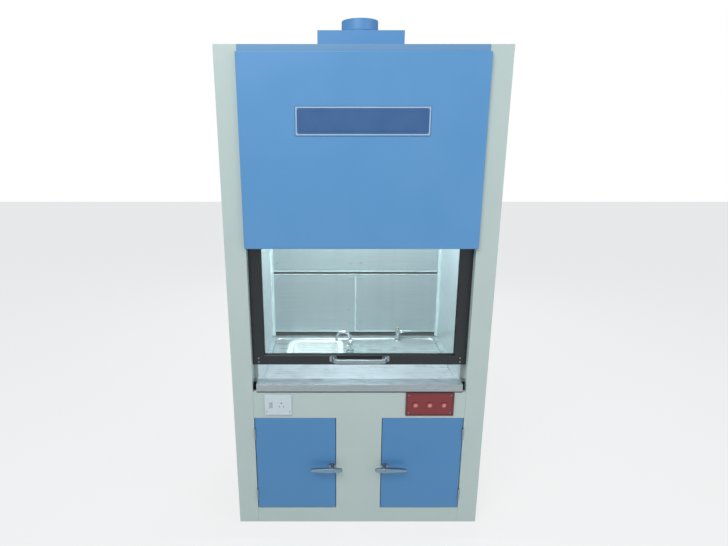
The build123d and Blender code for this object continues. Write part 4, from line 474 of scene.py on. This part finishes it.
class Piece:
    """A mesh in the making: shapes are added to it, and then it is given a name, a finish and a body."""

    def __init__(self, name: str, finish: Finish, body: str) -> None:
        """Start an empty piece.

        Args:
            name: the piece's name.
            finish: what it is made of.
            body: the body of the frame that it moves with.
        """
        self.name = name
        self.finish = finish
        self.body = body
        self.mesh = bmesh.new()

    def turned(
        self, profile: Sequence[tuple[float, float]], foot: Vector, axis: Vector, count: int = 40,
        waist: Callable[[int, float], float] | None = None,
    ) -> "Piece":
        """Add a turned form.

        Args:
            profile: radius and height of each ring, in millimetres; the ends close by themselves.
            foot: the point where the height is 0.
            axis: the way that the height grows.
            count: points on each ring.
            waist: scales a ring's radius, from the ring's number and the angle.

        Returns:
            This piece.
        """
        turn = axis.normalized().to_track_quat("Z", "Y").to_matrix().to_4x4()
        place = Matrix.Translation(foot) @ turn
        rings = []
        for ring_index, (radius, height) in enumerate(profile):
            ring = []
            for step in range(count):
                angle = 2 * math.pi * step / count
                reach = radius * (waist(ring_index, angle) if waist else 1.0)
                spot = Vector((reach * math.cos(angle), reach * math.sin(angle), height)) * MM
                ring.append(self.mesh.verts.new(place @ spot))
            rings.append(ring)
        for lower, upper in zip(rings, rings[1:]):
            for step in range(count):
                after = (step + 1) % count
                self.mesh.faces.new((lower[step], lower[after], upper[after], upper[step]))
        self.mesh.faces.new(list(reversed(rings[0])))
        self.mesh.faces.new(rings[-1])
        return self

    def block(self, low: Vector, high: Vector, edge_mm: float, steps: int = 2) -> "Piece":
        """Add a block with rounded edges between two corners.

        Args:
            low: one corner.
            high: the other corner.
            edge_mm: the radius of its edges.
            steps: faces across each rounded edge.

        Returns:
            This piece.
        """
        centre, size = (low + high) / 2, high - low
        shape = Matrix.Translation(centre) @ Matrix.Diagonal((abs(size.x), abs(size.y), abs(size.z), 1))
        made = bmesh.ops.create_cube(self.mesh, size=1.0, matrix=shape)
        edges = list({edge for corner in made["verts"] for edge in corner.link_edges})
        bmesh.ops.bevel(
            self.mesh, geom=edges, offset=edge_mm * MM, segments=steps, profile=0.5, affect="EDGES"
        )
        return self

    def swept(
        self, path: Sequence[Vector], section: Sequence[tuple[float, float]], up: Vector, closed: bool
    ) -> "Piece":
        """Add a strip of constant section along a line, mitred at its corners.

        Args:
            path: the line's points.
            section: the section's points, sideways and along up, in millimetres.
            up: the direction that stays upright in the section.
            closed: whether the line ends where it starts.

        Returns:
            This piece.
        """
        count = len(path)
        rings = []
        for index, spot in enumerate(path):
            ways = []
            if closed or index > 0:
                ways.append((spot - path[index - 1]).normalized())
            if closed or index < count - 1:
                ways.append((path[(index + 1) % count] - spot).normalized())
            sides = [way.cross(up).normalized() for way in ways]
            side = sum(sides, Vector()).normalized()
            side /= max(side.dot(sides[0]), 0.2)
            rings.append([self.mesh.verts.new(spot + side * across * MM + up * along * MM)
                          for across, along in section])
        pairs = list(zip(rings, rings[1:])) + ([(rings[-1], rings[0])] if closed else [])
        for first, second in pairs:
            for step in range(len(section)):
                after = (step + 1) % len(section)
                self.mesh.faces.new((first[step], first[after], second[after], second[step]))
        if not closed:
            self.mesh.faces.new(list(reversed(rings[0])))
            self.mesh.faces.new(rings[-1])
        return self

    def nut(self, foot: Vector, way: Vector, radius: float, height: float) -> "Piece":
        """Add a six-sided nut with chamfered faces.

        Args:
            foot: the centre of its seat.
            way: the direction of its axis.
            radius: from its centre to a corner, in millimetres.
            height: along its axis, in millimetres.

        Returns:
            This piece.
        """
        rim = radius * 0.9
        profile = [(rim, 0.0), (radius, height * 0.14), (radius, height * 0.86), (rim, height)]
        return self.turned(profile, foot, way, 6)

    def done(self, sharp_degrees: float = 35.0) -> bpy.types.Object:
        """Finish the mesh and let it ride on its body.

        Args:
            sharp_degrees: edges steeper than this stay crisp.

        Returns:
            The new object.
        """
        bmesh.ops.recalc_face_normals(self.mesh, faces=self.mesh.faces)
        mesh = bpy.data.meshes.new(self.name)
        self.mesh.to_mesh(mesh)
        self.mesh.free()
        mesh.shade_smooth()
        mesh.set_sharp_from_angle(angle=math.radians(sharp_degrees))
        mesh.materials.append(self.finish.material())
        made = bpy.data.objects.new(self.name, mesh)
        bpy.context.scene.collection.objects.link(made)
        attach(made, self.body)
        LOG.info("made %s on %s", self.name, self.body)
        return made


TOWARDS_USER = Vector((0, -1, 0))
TOWARDS_BACK = Vector((0, 1, 0))
UPWARDS = Vector((0, 0, 1))
RIGHTWARDS = Vector((1, 0, 0))


@dataclass
class Screws:
    """Small domed screws with a cross recess, as one piece for each row that they hold.

    The fields are the head's radius and height in millimetres.
    """

    radius: float = 4.0
    height: float = 1.8

    def driven(self, piece: Piece, spots: Iterable[Vector], way: Vector) -> Piece:
        """Add a screw head at each spot.

        Args:
            piece: the piece that takes the heads.
            spots: where each head seats.
            way: the direction that the heads face.

        Returns:
            The same piece.
        """
        r, h = self.radius, self.height
        profile = [(r * 0.96, 0.0), (r, h * 0.25), (r * 0.93, h * 0.62), (r * 0.72, h * 0.9),
                   (r * 0.56, h), (r * 0.5, h * 0.6), (r * 0.3, h * 0.35)]

        def crossed(ring: int, angle: float) -> float:
            """Pinch the recess rings into a cross."""
            return 1.0 if ring < 5 else 0.42 + 0.58 * abs(math.cos(2 * angle)) ** 3

        for spot in spots:
            piece.turned(profile, spot, way, 24, crossed)
        return piece


@dataclass
class Sash:
    """The vertical sash: glazing beads, corner screws, wiper and handle fixings.

    The fields are its window and frame in millimetres, at rest.
    """

    window_half: float = 448.0
    window_low: float = 902.0
    window_high: float = 1535.0
    front: float = 36.0
    back: float = 64.0
    pane_front: float = 47.5
    pane_back: float = 52.5
    bead: float = 4.0
    rail_low: float = 855.0
    handle_half: float = 124.0
    handle_z: float = 885.0

    def outline(self, inset: float, depth: float) -> list[Vector]:
        """Return the window's four corners, moved in from its edge, at a depth."""
        x, low, high = self.window_half - inset, self.window_low + inset, self.window_high - inset
        return [at(-x, depth, low), at(x, depth, low), at(x, depth, high), at(-x, depth, high)]

    def build(self) -> None:
        """Make the beads that hold the glass, the frame's and handle's screws and the bottom wiper."""
        for name, depth, way in (
            ("sash_front_glazing_bead", self.pane_front, -1), ("sash_back_glazing_bead", self.pane_back, 1),
        ):
            bead = Piece(name, BLACK_RUBBER, "sash")
            lean = [(0.4, 0.0), (-self.bead, 0.0), (-self.bead + 0.8, 2.2 * way), (0.4, 3.6 * way)]
            bead.swept(self.outline(0.4, depth + 0.1 * way), lean, TOWARDS_BACK, True).done()
        screws = Piece("sash_corner_screws", ZINC, "sash")
        corner_x = self.window_half + 28
        spots = [at(side * corner_x, self.front, z) for side in (1, -1)
                 for z in (self.rail_low + 14, self.rail_low + 33)]
        Screws(3.6, 1.5).driven(screws, spots, TOWARDS_USER).done()
        pads = Piece("sash_handle_fixings", CHROME, "sash")
        ends = [at(side * (self.handle_half + offset), self.front - 3, self.handle_z)
                for side in (1, -1) for offset in (-12, 12)]
        Screws(2.4, 1.1).driven(pads, ends, TOWARDS_USER).done()
        wiper = Piece("sash_bottom_wiper", BLACK_RUBBER, "sash")
        low, high = at(-500, self.front + 7, self.rail_low - 4), at(500, self.back - 7, self.rail_low + 0.2)
        wiper.block(low, high, 1.5).done()


@dataclass
class FrontCables:
    """The front spans of the sash cables, laid from six strands; on the real hood they shorten as the sash
    rises.

    The fields are where they hang, their radius, the strands' lay and the sash's travel, in millimetres;
    nothing reads the travel.
    """

    x: float = 490.0
    radius: float = 1.4
    lay: float = 6.0
    travel: float = 520.0

    def build(self) -> None:
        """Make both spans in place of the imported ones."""
        low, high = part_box("front_cables")
        span = (high[2] - low[2]) / MM
        middle = ((low[1] + high[1]) / 2 - FRONT_Y) / MM
        rows = round(span / self.lay)
        profile = [(self.radius, span * row / rows) for row in range(rows + 1)]

        def stranded(ring: int, angle: float) -> float:
            """Pinch each ring between six strands that turn along the rope."""
            return 0.93 + 0.07 * math.cos(6 * angle + 1.3 * ring)

        rope = Piece("front_cable_spans", WIRE_ROPE, "cabinet")
        for side in (-1, 1):
            rope.turned(profile, at(side * self.x, middle, low[2] / MM), UPWARDS, 24, stranded)
        made = rope.done(60)
        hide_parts("front_cables")
        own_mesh(made)


@dataclass
class Chamber:
    """The lined work chamber: baffle screws, hems and joint strip, corner seals and coves, lamp frame.

    The fields are its faces in millimetres.
    """

    wall_x: float = 485.0
    baffle: float = 600.0
    baffle_half: float = 470.0
    rim: float = 771.0
    slot_low: float = 1150.0
    slot_high: float = 1162.0
    bottom: float = 800.0
    bend: float = 1690.0
    hem: float = 7.0
    screw_columns: tuple[float, ...] = (-443.0, -29.0, 29.0, 443.0)
    screw_rows: tuple[float, ...] = (853.0, 1123.0, 1215.0, 1663.0)
    ceiling: float = 2000.0
    lamp_half: float = 350.0
    lamp_near: float = 110.0
    lamp_far: float = 190.0

    def build(self) -> None:
        """Make the baffles' screws, hems and joint strip, then the corners' and the lamp's trim."""
        screws = Piece("baffle_screws", SATIN_NICKEL, "cabinet")
        spots = [at(x, self.baffle, z) for x in self.screw_columns for z in self.screw_rows]
        Screws(6.0, 3.0).driven(screws, spots, TOWARDS_USER).done()
        for name, side in (("left_corner_sealant", -1), ("right_corner_sealant", 1)):
            seal = Piece(name, GREY_ABS, "cabinet")
            path = [at(side * self.wall_x, 80, self.rim), at(side * self.wall_x, 660, self.rim)]
            seal.swept(path, [(-3.0, 0.0), (0.0, 0.05), (3.0, 0.0), (1.2, 1.4), (0.0, 3.0), (-1.2, 1.4)],
                       UPWARDS, False).done()
        # Bright coves in the back corners: painted highlights of the corners.
        for name, side in (("left_corner_cove", -1), ("right_corner_cove", 1)):
            cove = Piece(name, HIGHLIGHT_STEEL, "cabinet")
            arc = [(-19.0, 0.1), (-11.7, 1.4), (-5.6, 5.6), (-1.4, 11.7), (-0.1, 19.0), (-0.1, 0.1)]
            path = [at(side * self.wall_x, self.baffle, z) for z in (self.rim + 4, self.bend)]
            section = [(side * across, along) for across, along in arc]
            cove.swept(path, section, TOWARDS_USER, False).done(60)
        # Hems and joint strip in the bright steel: painted highlights on the baffles' folded edges and
        # seam.
        hems = Piece("baffle_folded_hems", HIGHLIGHT_STEEL, "cabinet")
        for side in (-1, 1):
            near, far = sorted((side * 3.0, side * (self.baffle_half - 1)))
            for z in (self.bottom, self.slot_low - self.hem, self.slot_high):
                hems.block(at(near, self.baffle - 1.3, z), at(far, self.baffle + 0.1, z + self.hem), 0.6)
        hems.done()
        strip = Piece("baffle_joint_strip", HIGHLIGHT_STEEL, "cabinet")
        low = at(-6, self.baffle - 1.6, self.bottom + 10)
        strip.block(low, at(6, self.baffle - 0.1, self.slot_low - 10), 0.7).done()
        gasket = Piece("lamp_window_gasket", BLACK_RUBBER, "cabinet")
        x, near, far = self.lamp_half, self.lamp_near, self.lamp_far
        corners = [at(-x, near, self.ceiling), at(x, near, self.ceiling),
                   at(x, far, self.ceiling), at(-x, far, self.ceiling)]
        lip = [(-6.0, 0.0), (6.0, 0.0), (4.5, -2.2), (-4.5, -2.2)]
        gasket.swept(corners, lip, UPWARDS, True).done()


@dataclass
class WorktopLip:
    """The dark strip under the worktop's front lip, painted shadow of the gap between the lip and the rail.

    The fields are its half width and its heights in millimetres.
    """

    half_width: float = 486.0
    low: float = 729.6
    high: float = 733.9

    def build(self) -> None:
        """Make the dark strip of painted shadow."""
        # A black strip under the lip: painted shadow of the gap above the rail.
        seal = Piece("worktop_lip_shadow_strip", BLACK_RUBBER, "cabinet")
        seal.block(at(-self.half_width, -3.6, self.low), at(self.half_width, -0.1, self.high), 0.8).done()


@dataclass
class Sink:
    """The sink's rolled rim bead and the ring round its waste.

    The fields are its place and sizes in millimetres.
    """

    x: float = -226.0
    depth: float = 430.0
    half_width: float = 125.0
    half_length: float = 110.0
    corner: float = 45.0
    top: float = 760.5
    floor: float = 612.5

    def loop(self, grow: float, z: float, steps: int = 10) -> list[Vector]:
        """Return the bowl's rounded outline.

        Args:
            grow: how far outside the bowl's edge it runs.
            z: its height.
            steps: points on each rounded corner.

        Returns:
            The outline's points, anticlockwise from above.
        """
        radius = self.corner + grow
        spots = []
        for quarter, (side, end) in enumerate(((1, 1), (-1, 1), (-1, -1), (1, -1))):
            middle = self.x + side * (self.half_width - self.corner)
            depth = self.depth + end * (self.half_length - self.corner)
            for step in range(steps + 1):
                angle = math.pi / 2 * (quarter + step / steps)
                spots.append(at(middle + radius * math.cos(angle), depth + radius * math.sin(angle), z))
        return spots

    def build(self) -> None:
        """Make the rolled bead round the bowl's mouth and the waste's ring."""
        # The bead takes the bowl's near-white painted light.
        bead = Piece("sink_rolled_bead", LIT_BOWL_STEEL, "cabinet")
        bead.swept(self.loop(3.2, self.top - 0.2),
                   [(-2.8, 0.0), (2.8, 0.0), (2.2, 1.5), (0.9, 2.3), (-0.9, 2.3), (-2.2, 1.5)],
                   UPWARDS, True).done(60)
        ring = Piece("sink_waste_ring", CHROME, "cabinet")
        profile = [(33.0, 0.0), (33.4, 0.7), (31.5, 1.6), (27.0, 1.7), (25.5, 1.0), (24.8, 0.05)]
        ring.turned(profile, at(self.x, self.depth, self.floor), UPWARDS, 48).done()


@dataclass
class Services:
    """Trim of the tap and the gas cock: nuts, collars, index buttons and the spout's flow straightener.

    The fields are their places and heights in millimetres.
    """

    tap_x: float = -33.0
    tap_depth: float = 412.0
    dish: float = 759.0
    spout_reach: float = 76.0
    tap_front: float = 376.7
    gas_x: float = 246.0
    gas_depth: float = 566.0

    def build(self) -> None:
        """Make the tap's and the gas cock's trim, some of it on the handles."""
        tap = Piece("tap_trim", CHROME, "cabinet")
        tap.nut(at(self.tap_x, self.tap_depth, self.dish + 7), UPWARDS, 15, 10)
        tap.turned([(11.0, 0.0), (12.4, 1.2), (12.4, 3.4), (11.0, 4.6)],
                   at(self.tap_x, self.tap_depth, self.dish + 62), UPWARDS)
        tap.turned([(9.6, 0.0), (10.8, 1.0), (10.8, 6.0), (9.6, 7.0)],
                   at(self.tap_x - self.spout_reach, self.tap_depth, self.dish + 51.5), UPWARDS)
        tap.nut(at(self.tap_x, self.tap_depth - 14, self.dish + 44), TOWARDS_USER, 14, 8)
        tap.done()
        spout = Piece("tap_flow_straightener", BLACK_NYLON, "cabinet")
        spout.turned([(7.0, 0.0), (7.2, 0.4), (6.0, 1.0), (2.0, 1.1)],
                     at(self.tap_x - self.spout_reach, self.tap_depth, self.dish + 48.4), -UPWARDS).done()
        index = Piece("tap_index_button", GREEN_INSERT, "tap_handle")
        index.turned([(6.4, 0.0), (6.6, 0.5), (5.6, 1.1), (2.4, 1.5)],
                     at(self.tap_x, self.tap_front, self.dish + 44), TOWARDS_USER, 32).done()
        gas = Piece("gas_cock_trim", CHROME, "cabinet")
        gas.nut(at(self.gas_x, self.gas_depth, self.dish + 6), UPWARDS, 13, 9)
        gas.nut(at(self.gas_x + 17, self.gas_depth, self.dish + 56), RIGHTWARDS, 11, 10)
        gas.turned([(9.0, 0.0), (9.6, 0.8), (9.6, 2.6), (8.8, 3.4)],
                   at(self.gas_x, self.gas_depth, self.dish + 30), UPWARDS)
        gas.done()
        mark = Piece("gas_index_button", YELLOW_INSERT, "gas_lever")
        mark.turned([(6.6, 0.0), (6.8, 0.4), (5.8, 1.0), (2.2, 1.4)],
                    at(self.gas_x, self.gas_depth, self.dish + 79.4), UPWARDS, 32).done()


@dataclass
class ControlPlate:
    """The red plate: border, corner screws and the three lens rings.

    The fields are its place and sizes in millimetres.
    """

    x: float = 336.0
    z: float = 668.0
    half_width: float = 115.0
    half_height: float = 61.0
    pitch: float = 68.0
    button_z: float = 662.0
    border_inset: float = 4.2
    border_face: float = -4.45
    screw_inset: float = 15.0

    def build(self) -> None:
        """Make the dark border, the corner screws, and on each button a red ring round its lens."""
        border = Piece("control_plate_border", RED_EDGE, "cabinet")
        x, up = self.half_width - self.border_inset, self.half_height - self.border_inset
        face = self.border_face
        path = [at(self.x - x, face, self.z - up), at(self.x + x, face, self.z - up),
                at(self.x + x, face, self.z + up), at(self.x - x, face, self.z + up)]
        ridge = [(-3.8, 0.0), (3.8, 0.0), (3.5, -0.3), (-3.5, -0.3)]
        border.swept(path, ridge, TOWARDS_BACK, True).done()
        screws = Piece("control_plate_screws", SATIN_NICKEL, "cabinet")
        x, up = self.half_width - self.screw_inset, self.half_height - self.screw_inset
        spots = [at(self.x + side * x, -3.0, self.z + way * up) for side in (1, -1) for way in (1, -1)]
        Screws(3.2, 1.3).driven(screws, spots, TOWARDS_USER).done()
        for number in (1, 2, 3):
            ring = Piece(f"button_lens_ring_{number}", RED_RING, f"push_button_{number}")
            centre = at(self.x + (number - 2) * self.pitch, -6.6, self.button_z)
            ring.turned([(10.2, 0.0), (10.3, 0.6), (9.6, 1.0), (8.9, 0.6), (8.8, 0.0)],
                        centre, TOWARDS_USER, 40).done()


@dataclass
class SocketPlate:
    """The white plate: cover screws and dark discs in the pin slots, painted shade of the pin holes.

    The fields are its place and sizes in millimetres.
    """

    x: float = -386.0
    z: float = 665.5
    outlet_x: float = -370.0
    screw_reach: float = 55.0
    screw_drop: float = 34.0
    face: float = -9.0
    pin_depth: float = -7.75

    def build(self) -> None:
        """Make the cover's screws and the dark discs of painted shade in the pin holes."""
        screws = Piece("socket_plate_screws", SATIN_NICKEL, "cabinet")
        low = self.z - self.screw_drop
        spots = [at(self.x + side * self.screw_reach, self.face, low) for side in (1, -1)]
        Screws(3.0, 1.2).driven(screws, spots, TOWARDS_USER).done()
        # Dark discs over the pin slots: painted shade of the pin holes.
        pin_hole_shades = Piece("socket_pin_hole_shades", PIN_SHADE, "cabinet")
        for dx, dz, radius in ((0, 11, 3.5), (-10, -8, 2.7), (10, -8, 2.7)):
            pin_hole_shades.turned([(radius, 0.0), (radius, 0.5), (radius * 0.5, 0.8)],
                            at(self.outlet_x + dx, self.pin_depth, self.z + dz), TOWARDS_USER, 28)
        pin_hole_shades.done()


@dataclass
class Door:
    """One cupboard door: rubber seal, the lever's cap and its rose collar.

    The fields are its side, -1 for the left, and its sizes in millimetres.
    """

    side: int
    name: str
    inner_x: float = 113.0
    outer_x: float = 501.6
    low: float = 86.0
    high: float = 591.0
    back: float = 20.0
    seal_inset: float = 6.0
    seal_top_inset: float = 20.0
    hub_x: float = 128.0
    hub_z: float = 328.0
    lever_face: float = -41.5

    def build(self) -> None:
        """Make the pieces that swing with the door and those that turn with its lever."""
        body = f"{self.name}_door"
        seal = Piece(f"{self.name}_door_seal", BLACK_RUBBER, body)
        inset, top = self.seal_inset, self.high - self.seal_top_inset
        near, far = sorted((self.side * (self.inner_x + inset), self.side * (self.outer_x - inset)))
        path = [at(near, self.back, self.low + inset), at(far, self.back, self.low + inset),
                at(far, self.back, top), at(near, self.back, top)]
        bulb = [(-2.2, -0.1), (2.2, -0.1), (1.6, 0.9), (0.0, 1.3), (-1.6, 0.9)]
        seal.swept(path, bulb, TOWARDS_BACK, True).done(60)
        cover = Piece(f"{self.name}_lever_cap", CHROME, f"{self.name}_latch")
        cover.turned([(6.0, 0.0), (6.2, 0.3), (5.2, 0.45), (2.0, 0.5)],
                     at(self.side * self.hub_x, self.lever_face, self.hub_z), TOWARDS_USER, 36).done()
        collar = Piece(f"{self.name}_rose_collar", CHROME, body)
        collar.turned([(18.2, 0.0), (18.6, 0.6), (18.0, 1.6), (16.6, 1.9), (16.4, 0.1)],
                      at(self.side * self.hub_x, -0.1, self.hub_z), TOWARDS_USER, 48).done()


@dataclass
class Fascia:
    """The blue fascia: its plate's pale edging and rivets, and the brush seal at its lower edge.

    The fields are its sizes in millimetres.
    """

    plate_z: float = 1957.0
    outer_half_width: float = 277.5
    outer_half_height: float = 58.5
    edging_inset: float = 5.0
    rivet_x: float = 267.0
    rivet_rise: float = 48.0
    face: float = -20.0
    lower_edge: float = 1428.0

    def build(self) -> None:
        """Make the plate's raised pale edging, its rivets and the brush under the fascia."""
        edging = Piece("fascia_plate_edging", BADGE_EDGE, "cabinet")
        x, up = self.outer_half_width - self.edging_inset, self.outer_half_height - self.edging_inset
        path = [at(-x, self.face, self.plate_z - up), at(x, self.face, self.plate_z - up),
                at(x, self.face, self.plate_z + up), at(-x, self.face, self.plate_z + up)]
        ridge = [(-3.0, 0.1), (3.0, 0.1), (2.4, -0.9), (-2.4, -0.9)]
        edging.swept(path, ridge, TOWARDS_BACK, True).done()
        rivets = Piece("fascia_plate_rivets", SATIN_NICKEL, "cabinet")
        for side in (1, -1):
            for up in (1, -1):
                spot = at(side * self.rivet_x, self.face, self.plate_z + up * self.rivet_rise)
                rivets.turned([(3.0, 0.0), (3.0, 0.3), (2.2, 1.0), (0.9, 1.3)], spot, TOWARDS_USER, 20)
        rivets.done()
        brush = Piece("fascia_brush_seal", BLACK_NYLON, "cabinet")
        brush.block(at(-500, 20, self.lower_edge), at(500, 34.5, self.lower_edge + 8), 1.0).done()


@dataclass
class Roof:
    """Fixings of the exhaust box and the collar on the roof.

    The fields are their place and sizes in millimetres.
    """

    depth: float = 375.0
    roof: float = 2250.0
    box_top: float = 2350.0
    half_width: float = 192.5
    half_length: float = 130.0
    screw_circle: float = 96.0
    screw_count: int = 8

    def build(self) -> None:
        """Make the collar's rolled bead and screws, and the box's sealed foot."""
        bead = Piece("collar_rolled_bead", BLUE_COAT, "cabinet")
        bead.turned([(85.0, 0.0), (86.6, 1.2), (86.6, 3.0), (85.0, 4.2), (84.0, 2.0)],
                    at(0, self.depth, self.box_top + 12), UPWARDS, 72).done()
        screws = Piece("collar_screws", ZINC, "cabinet")
        spots = []
        for turn in range(self.screw_count):
            angle = 2 * math.pi * turn / self.screw_count
            across, along = self.screw_circle * math.cos(angle), self.screw_circle * math.sin(angle)
            spots.append(at(across, self.depth + along, self.box_top + 2))
        Screws(3.4, 1.5).driven(screws, spots, UPWARDS).done()
        foot = Piece("exhaust_box_sealant", GREY_ABS, "cabinet")
        x, y = self.half_width, self.half_length
        path = [at(-x, self.depth - y, self.roof), at(x, self.depth - y, self.roof),
                at(x, self.depth + y, self.roof), at(-x, self.depth + y, self.roof)]
        foot.swept(path, [(0.5, 0.0), (4.5, 0.0), (2.4, 1.6), (0.5, 3.6)], UPWARDS, True).done()


def dress_frame() -> None:
    """Give every node of the frame its finish."""
    for name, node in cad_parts.items():
        node.data.materials.clear()
        node.data.materials.append(NODE_FINISHES[name].material())
        node.data.set_sharp_from_angle(angle=math.radians(30))
        LOG.info("dressed %s in %s", name, NODE_FINISHES[name].name)


@dataclass
class Studio:
    """Pale floor, soft lights and the camera that stands where the photograph's did.

    The fields are the photograph's solved camera, in millimetres, degrees and pixels, and then the floor:
    its colour, the share of white that the camera sees on it and its reach in metres.
    """

    camera_x: float = -106.0
    camera_distance: float = 2118.0
    camera_z: float = 1868.5
    pitch: float = 14.69
    focal_pixels: float = 493.4
    image_width: float = 728.0
    off_centre_pixels: float = 27.0
    sensor_mm: float = 36.0
    floor_colour: str = "DEE0E0"
    floor_white: float = 0.72
    floor_reach: float = 14.0

    def pale_floor(self) -> bpy.types.Material:
        """Build the floor's material, which the camera and gloss see near white and which keeps shadow."""
        made = bpy.data.materials.new("pale_floor")
        made.use_nodes = True
        tree = made.node_tree
        tree.nodes.clear()
        matt = add_node(tree, "BsdfDiffuse", {"Color": linear(self.floor_colour)})
        white = add_node(tree, "Emission", {"Color": linear("FFFFFF"), "Strength": 1.0})
        seen = add_node(tree, "LightPath")
        direct = add_node(tree, "Math", {
            0: seen.outputs["Is Camera Ray"], 1: seen.outputs["Is Glossy Ray"],
        }, operation="MAXIMUM")
        shown = add_node(tree, "Math", {
            0: direct.outputs[0], 1: seen.outputs["Is Transmission Ray"],
        }, operation="MAXIMUM")
        share = add_node(tree, "Math", {0: shown.outputs[0], 1: self.floor_white}, operation="MULTIPLY")
        mixed = add_node(tree, "MixShader", {0: share.outputs[0], 1: matt.outputs[0], 2: white.outputs[0]})
        add_node(tree, "OutputMaterial", {"Surface": mixed.outputs[0]})
        return made

    def floor(self) -> None:
        """Lay the floor."""
        mesh = bpy.data.meshes.new("studio_floor")
        reach = self.floor_reach
        corners = [(-reach, -reach, 0), (reach, -reach, 0), (reach, reach, 0), (-reach, reach, 0)]
        mesh.from_pydata(corners, [], [(0, 1, 2, 3)])
        mesh.materials.append(self.pale_floor())
        laid = bpy.data.objects.new("studio_floor", mesh)
        bpy.context.scene.collection.objects.link(laid)

    def world(self) -> None:
        """Set an even fill light whose directly seen colour is white."""
        world = bpy.data.worlds.new("studio_world")
        world.use_nodes = True
        tree = world.node_tree
        tree.nodes.clear()
        seen = add_node(tree, "LightPath")
        direct = add_node(tree, "Math", {
            0: seen.outputs["Is Camera Ray"], 1: seen.outputs["Is Transmission Ray"],
        }, operation="MAXIMUM")
        fill = add_node(tree, "Background", {"Color": linear("E4EDF4"), "Strength": 0.50})
        white = add_node(tree, "Background", {"Color": linear("FFFFFF"), "Strength": 1.0})
        mixed = add_node(tree, "MixShader", {0: direct.outputs[0], 1: fill.outputs[0], 2: white.outputs[0]})
        add_node(tree, "OutputWorld", {"Surface": mixed.outputs[0]})
        bpy.context.scene.world = world

    def lamp(
        self, name: str, place: Vector, target: Vector, width: float, height: float, watts: float
    ) -> None:
        """Hang one soft white light.

        Args:
            name: the light's name.
            place: where it hangs.
            target: what it points at.
            width: its width in metres.
            height: its height in metres.
            watts: its power.
        """
        light = bpy.data.lights.new(name, "AREA")
        light.shape = "RECTANGLE"
        light.size, light.size_y = width, height
        light.energy = watts
        hung = bpy.data.objects.new(name, light)
        hung.location = place
        hung.rotation_mode = "QUATERNION"
        hung.rotation_quaternion = (target - place).to_track_quat("-Z", "Y")
        bpy.context.scene.collection.objects.link(hung)

    def lights(self) -> None:
        """Hang the key light over the camera, a fill at the right, one behind and the chamber's lamp."""
        middle = Vector((0, 0, 1.3))
        self.lamp("key_light", Vector((-1.1, -3.0, 4.2)), middle, 2.6, 1.8, 88)
        self.lamp("fill_light", Vector((3.0, -2.6, 2.2)), middle, 2.0, 2.4, 24)
        self.lamp("back_light", Vector((0.5, 3.6, 3.0)), middle, 2.5, 2.0, 55)
        self.lamp("chamber_lamp_light", at(0, 150, 1992), at(0, 260, 1000), 0.66, 0.08, 25)

    def camera(self) -> None:
        """Set the camera where the photograph's stood, with its lens and framing."""
        lens = bpy.data.cameras.new("photograph_camera")
        lens.sensor_width = self.sensor_mm
        lens.lens = self.sensor_mm * self.focal_pixels / self.image_width
        lens.shift_x = self.off_centre_pixels / self.image_width
        lens.clip_start, lens.clip_end = 0.05, 60.0
        held = bpy.data.objects.new("photograph_camera", lens)
        held.location = at(self.camera_x, -self.camera_distance, self.camera_z)
        held.rotation_euler = (math.radians(90 - self.pitch), 0, 0)
        bpy.context.scene.collection.objects.link(held)
        bpy.context.scene.camera = held

    def build(self) -> None:
        """Set up the whole studio."""
        self.floor()
        self.world()
        self.lights()
        self.camera()
        bpy.context.scene.view_settings.view_transform = "Standard"
        LOG.info("set up the studio")


def main() -> None:
    """Dress the frame, make the fine pieces and set up the studio."""
    logging.basicConfig(level=logging.INFO, format="%(message)s")
    dress_frame()
    parts = [
        Sash(), FrontCables(), Chamber(), WorktopLip(), Sink(), Services(), ControlPlate(), SocketPlate(),
        Door(-1, "left"), Door(1, "right"), Fascia(), Roof(),
    ]
    for part in parts:
        part.build()
        LOG.info("finished %s", type(part).__name__)
    Studio().build()
    bpy.context.view_layer.update()


if __name__ == "__main__":
    main()
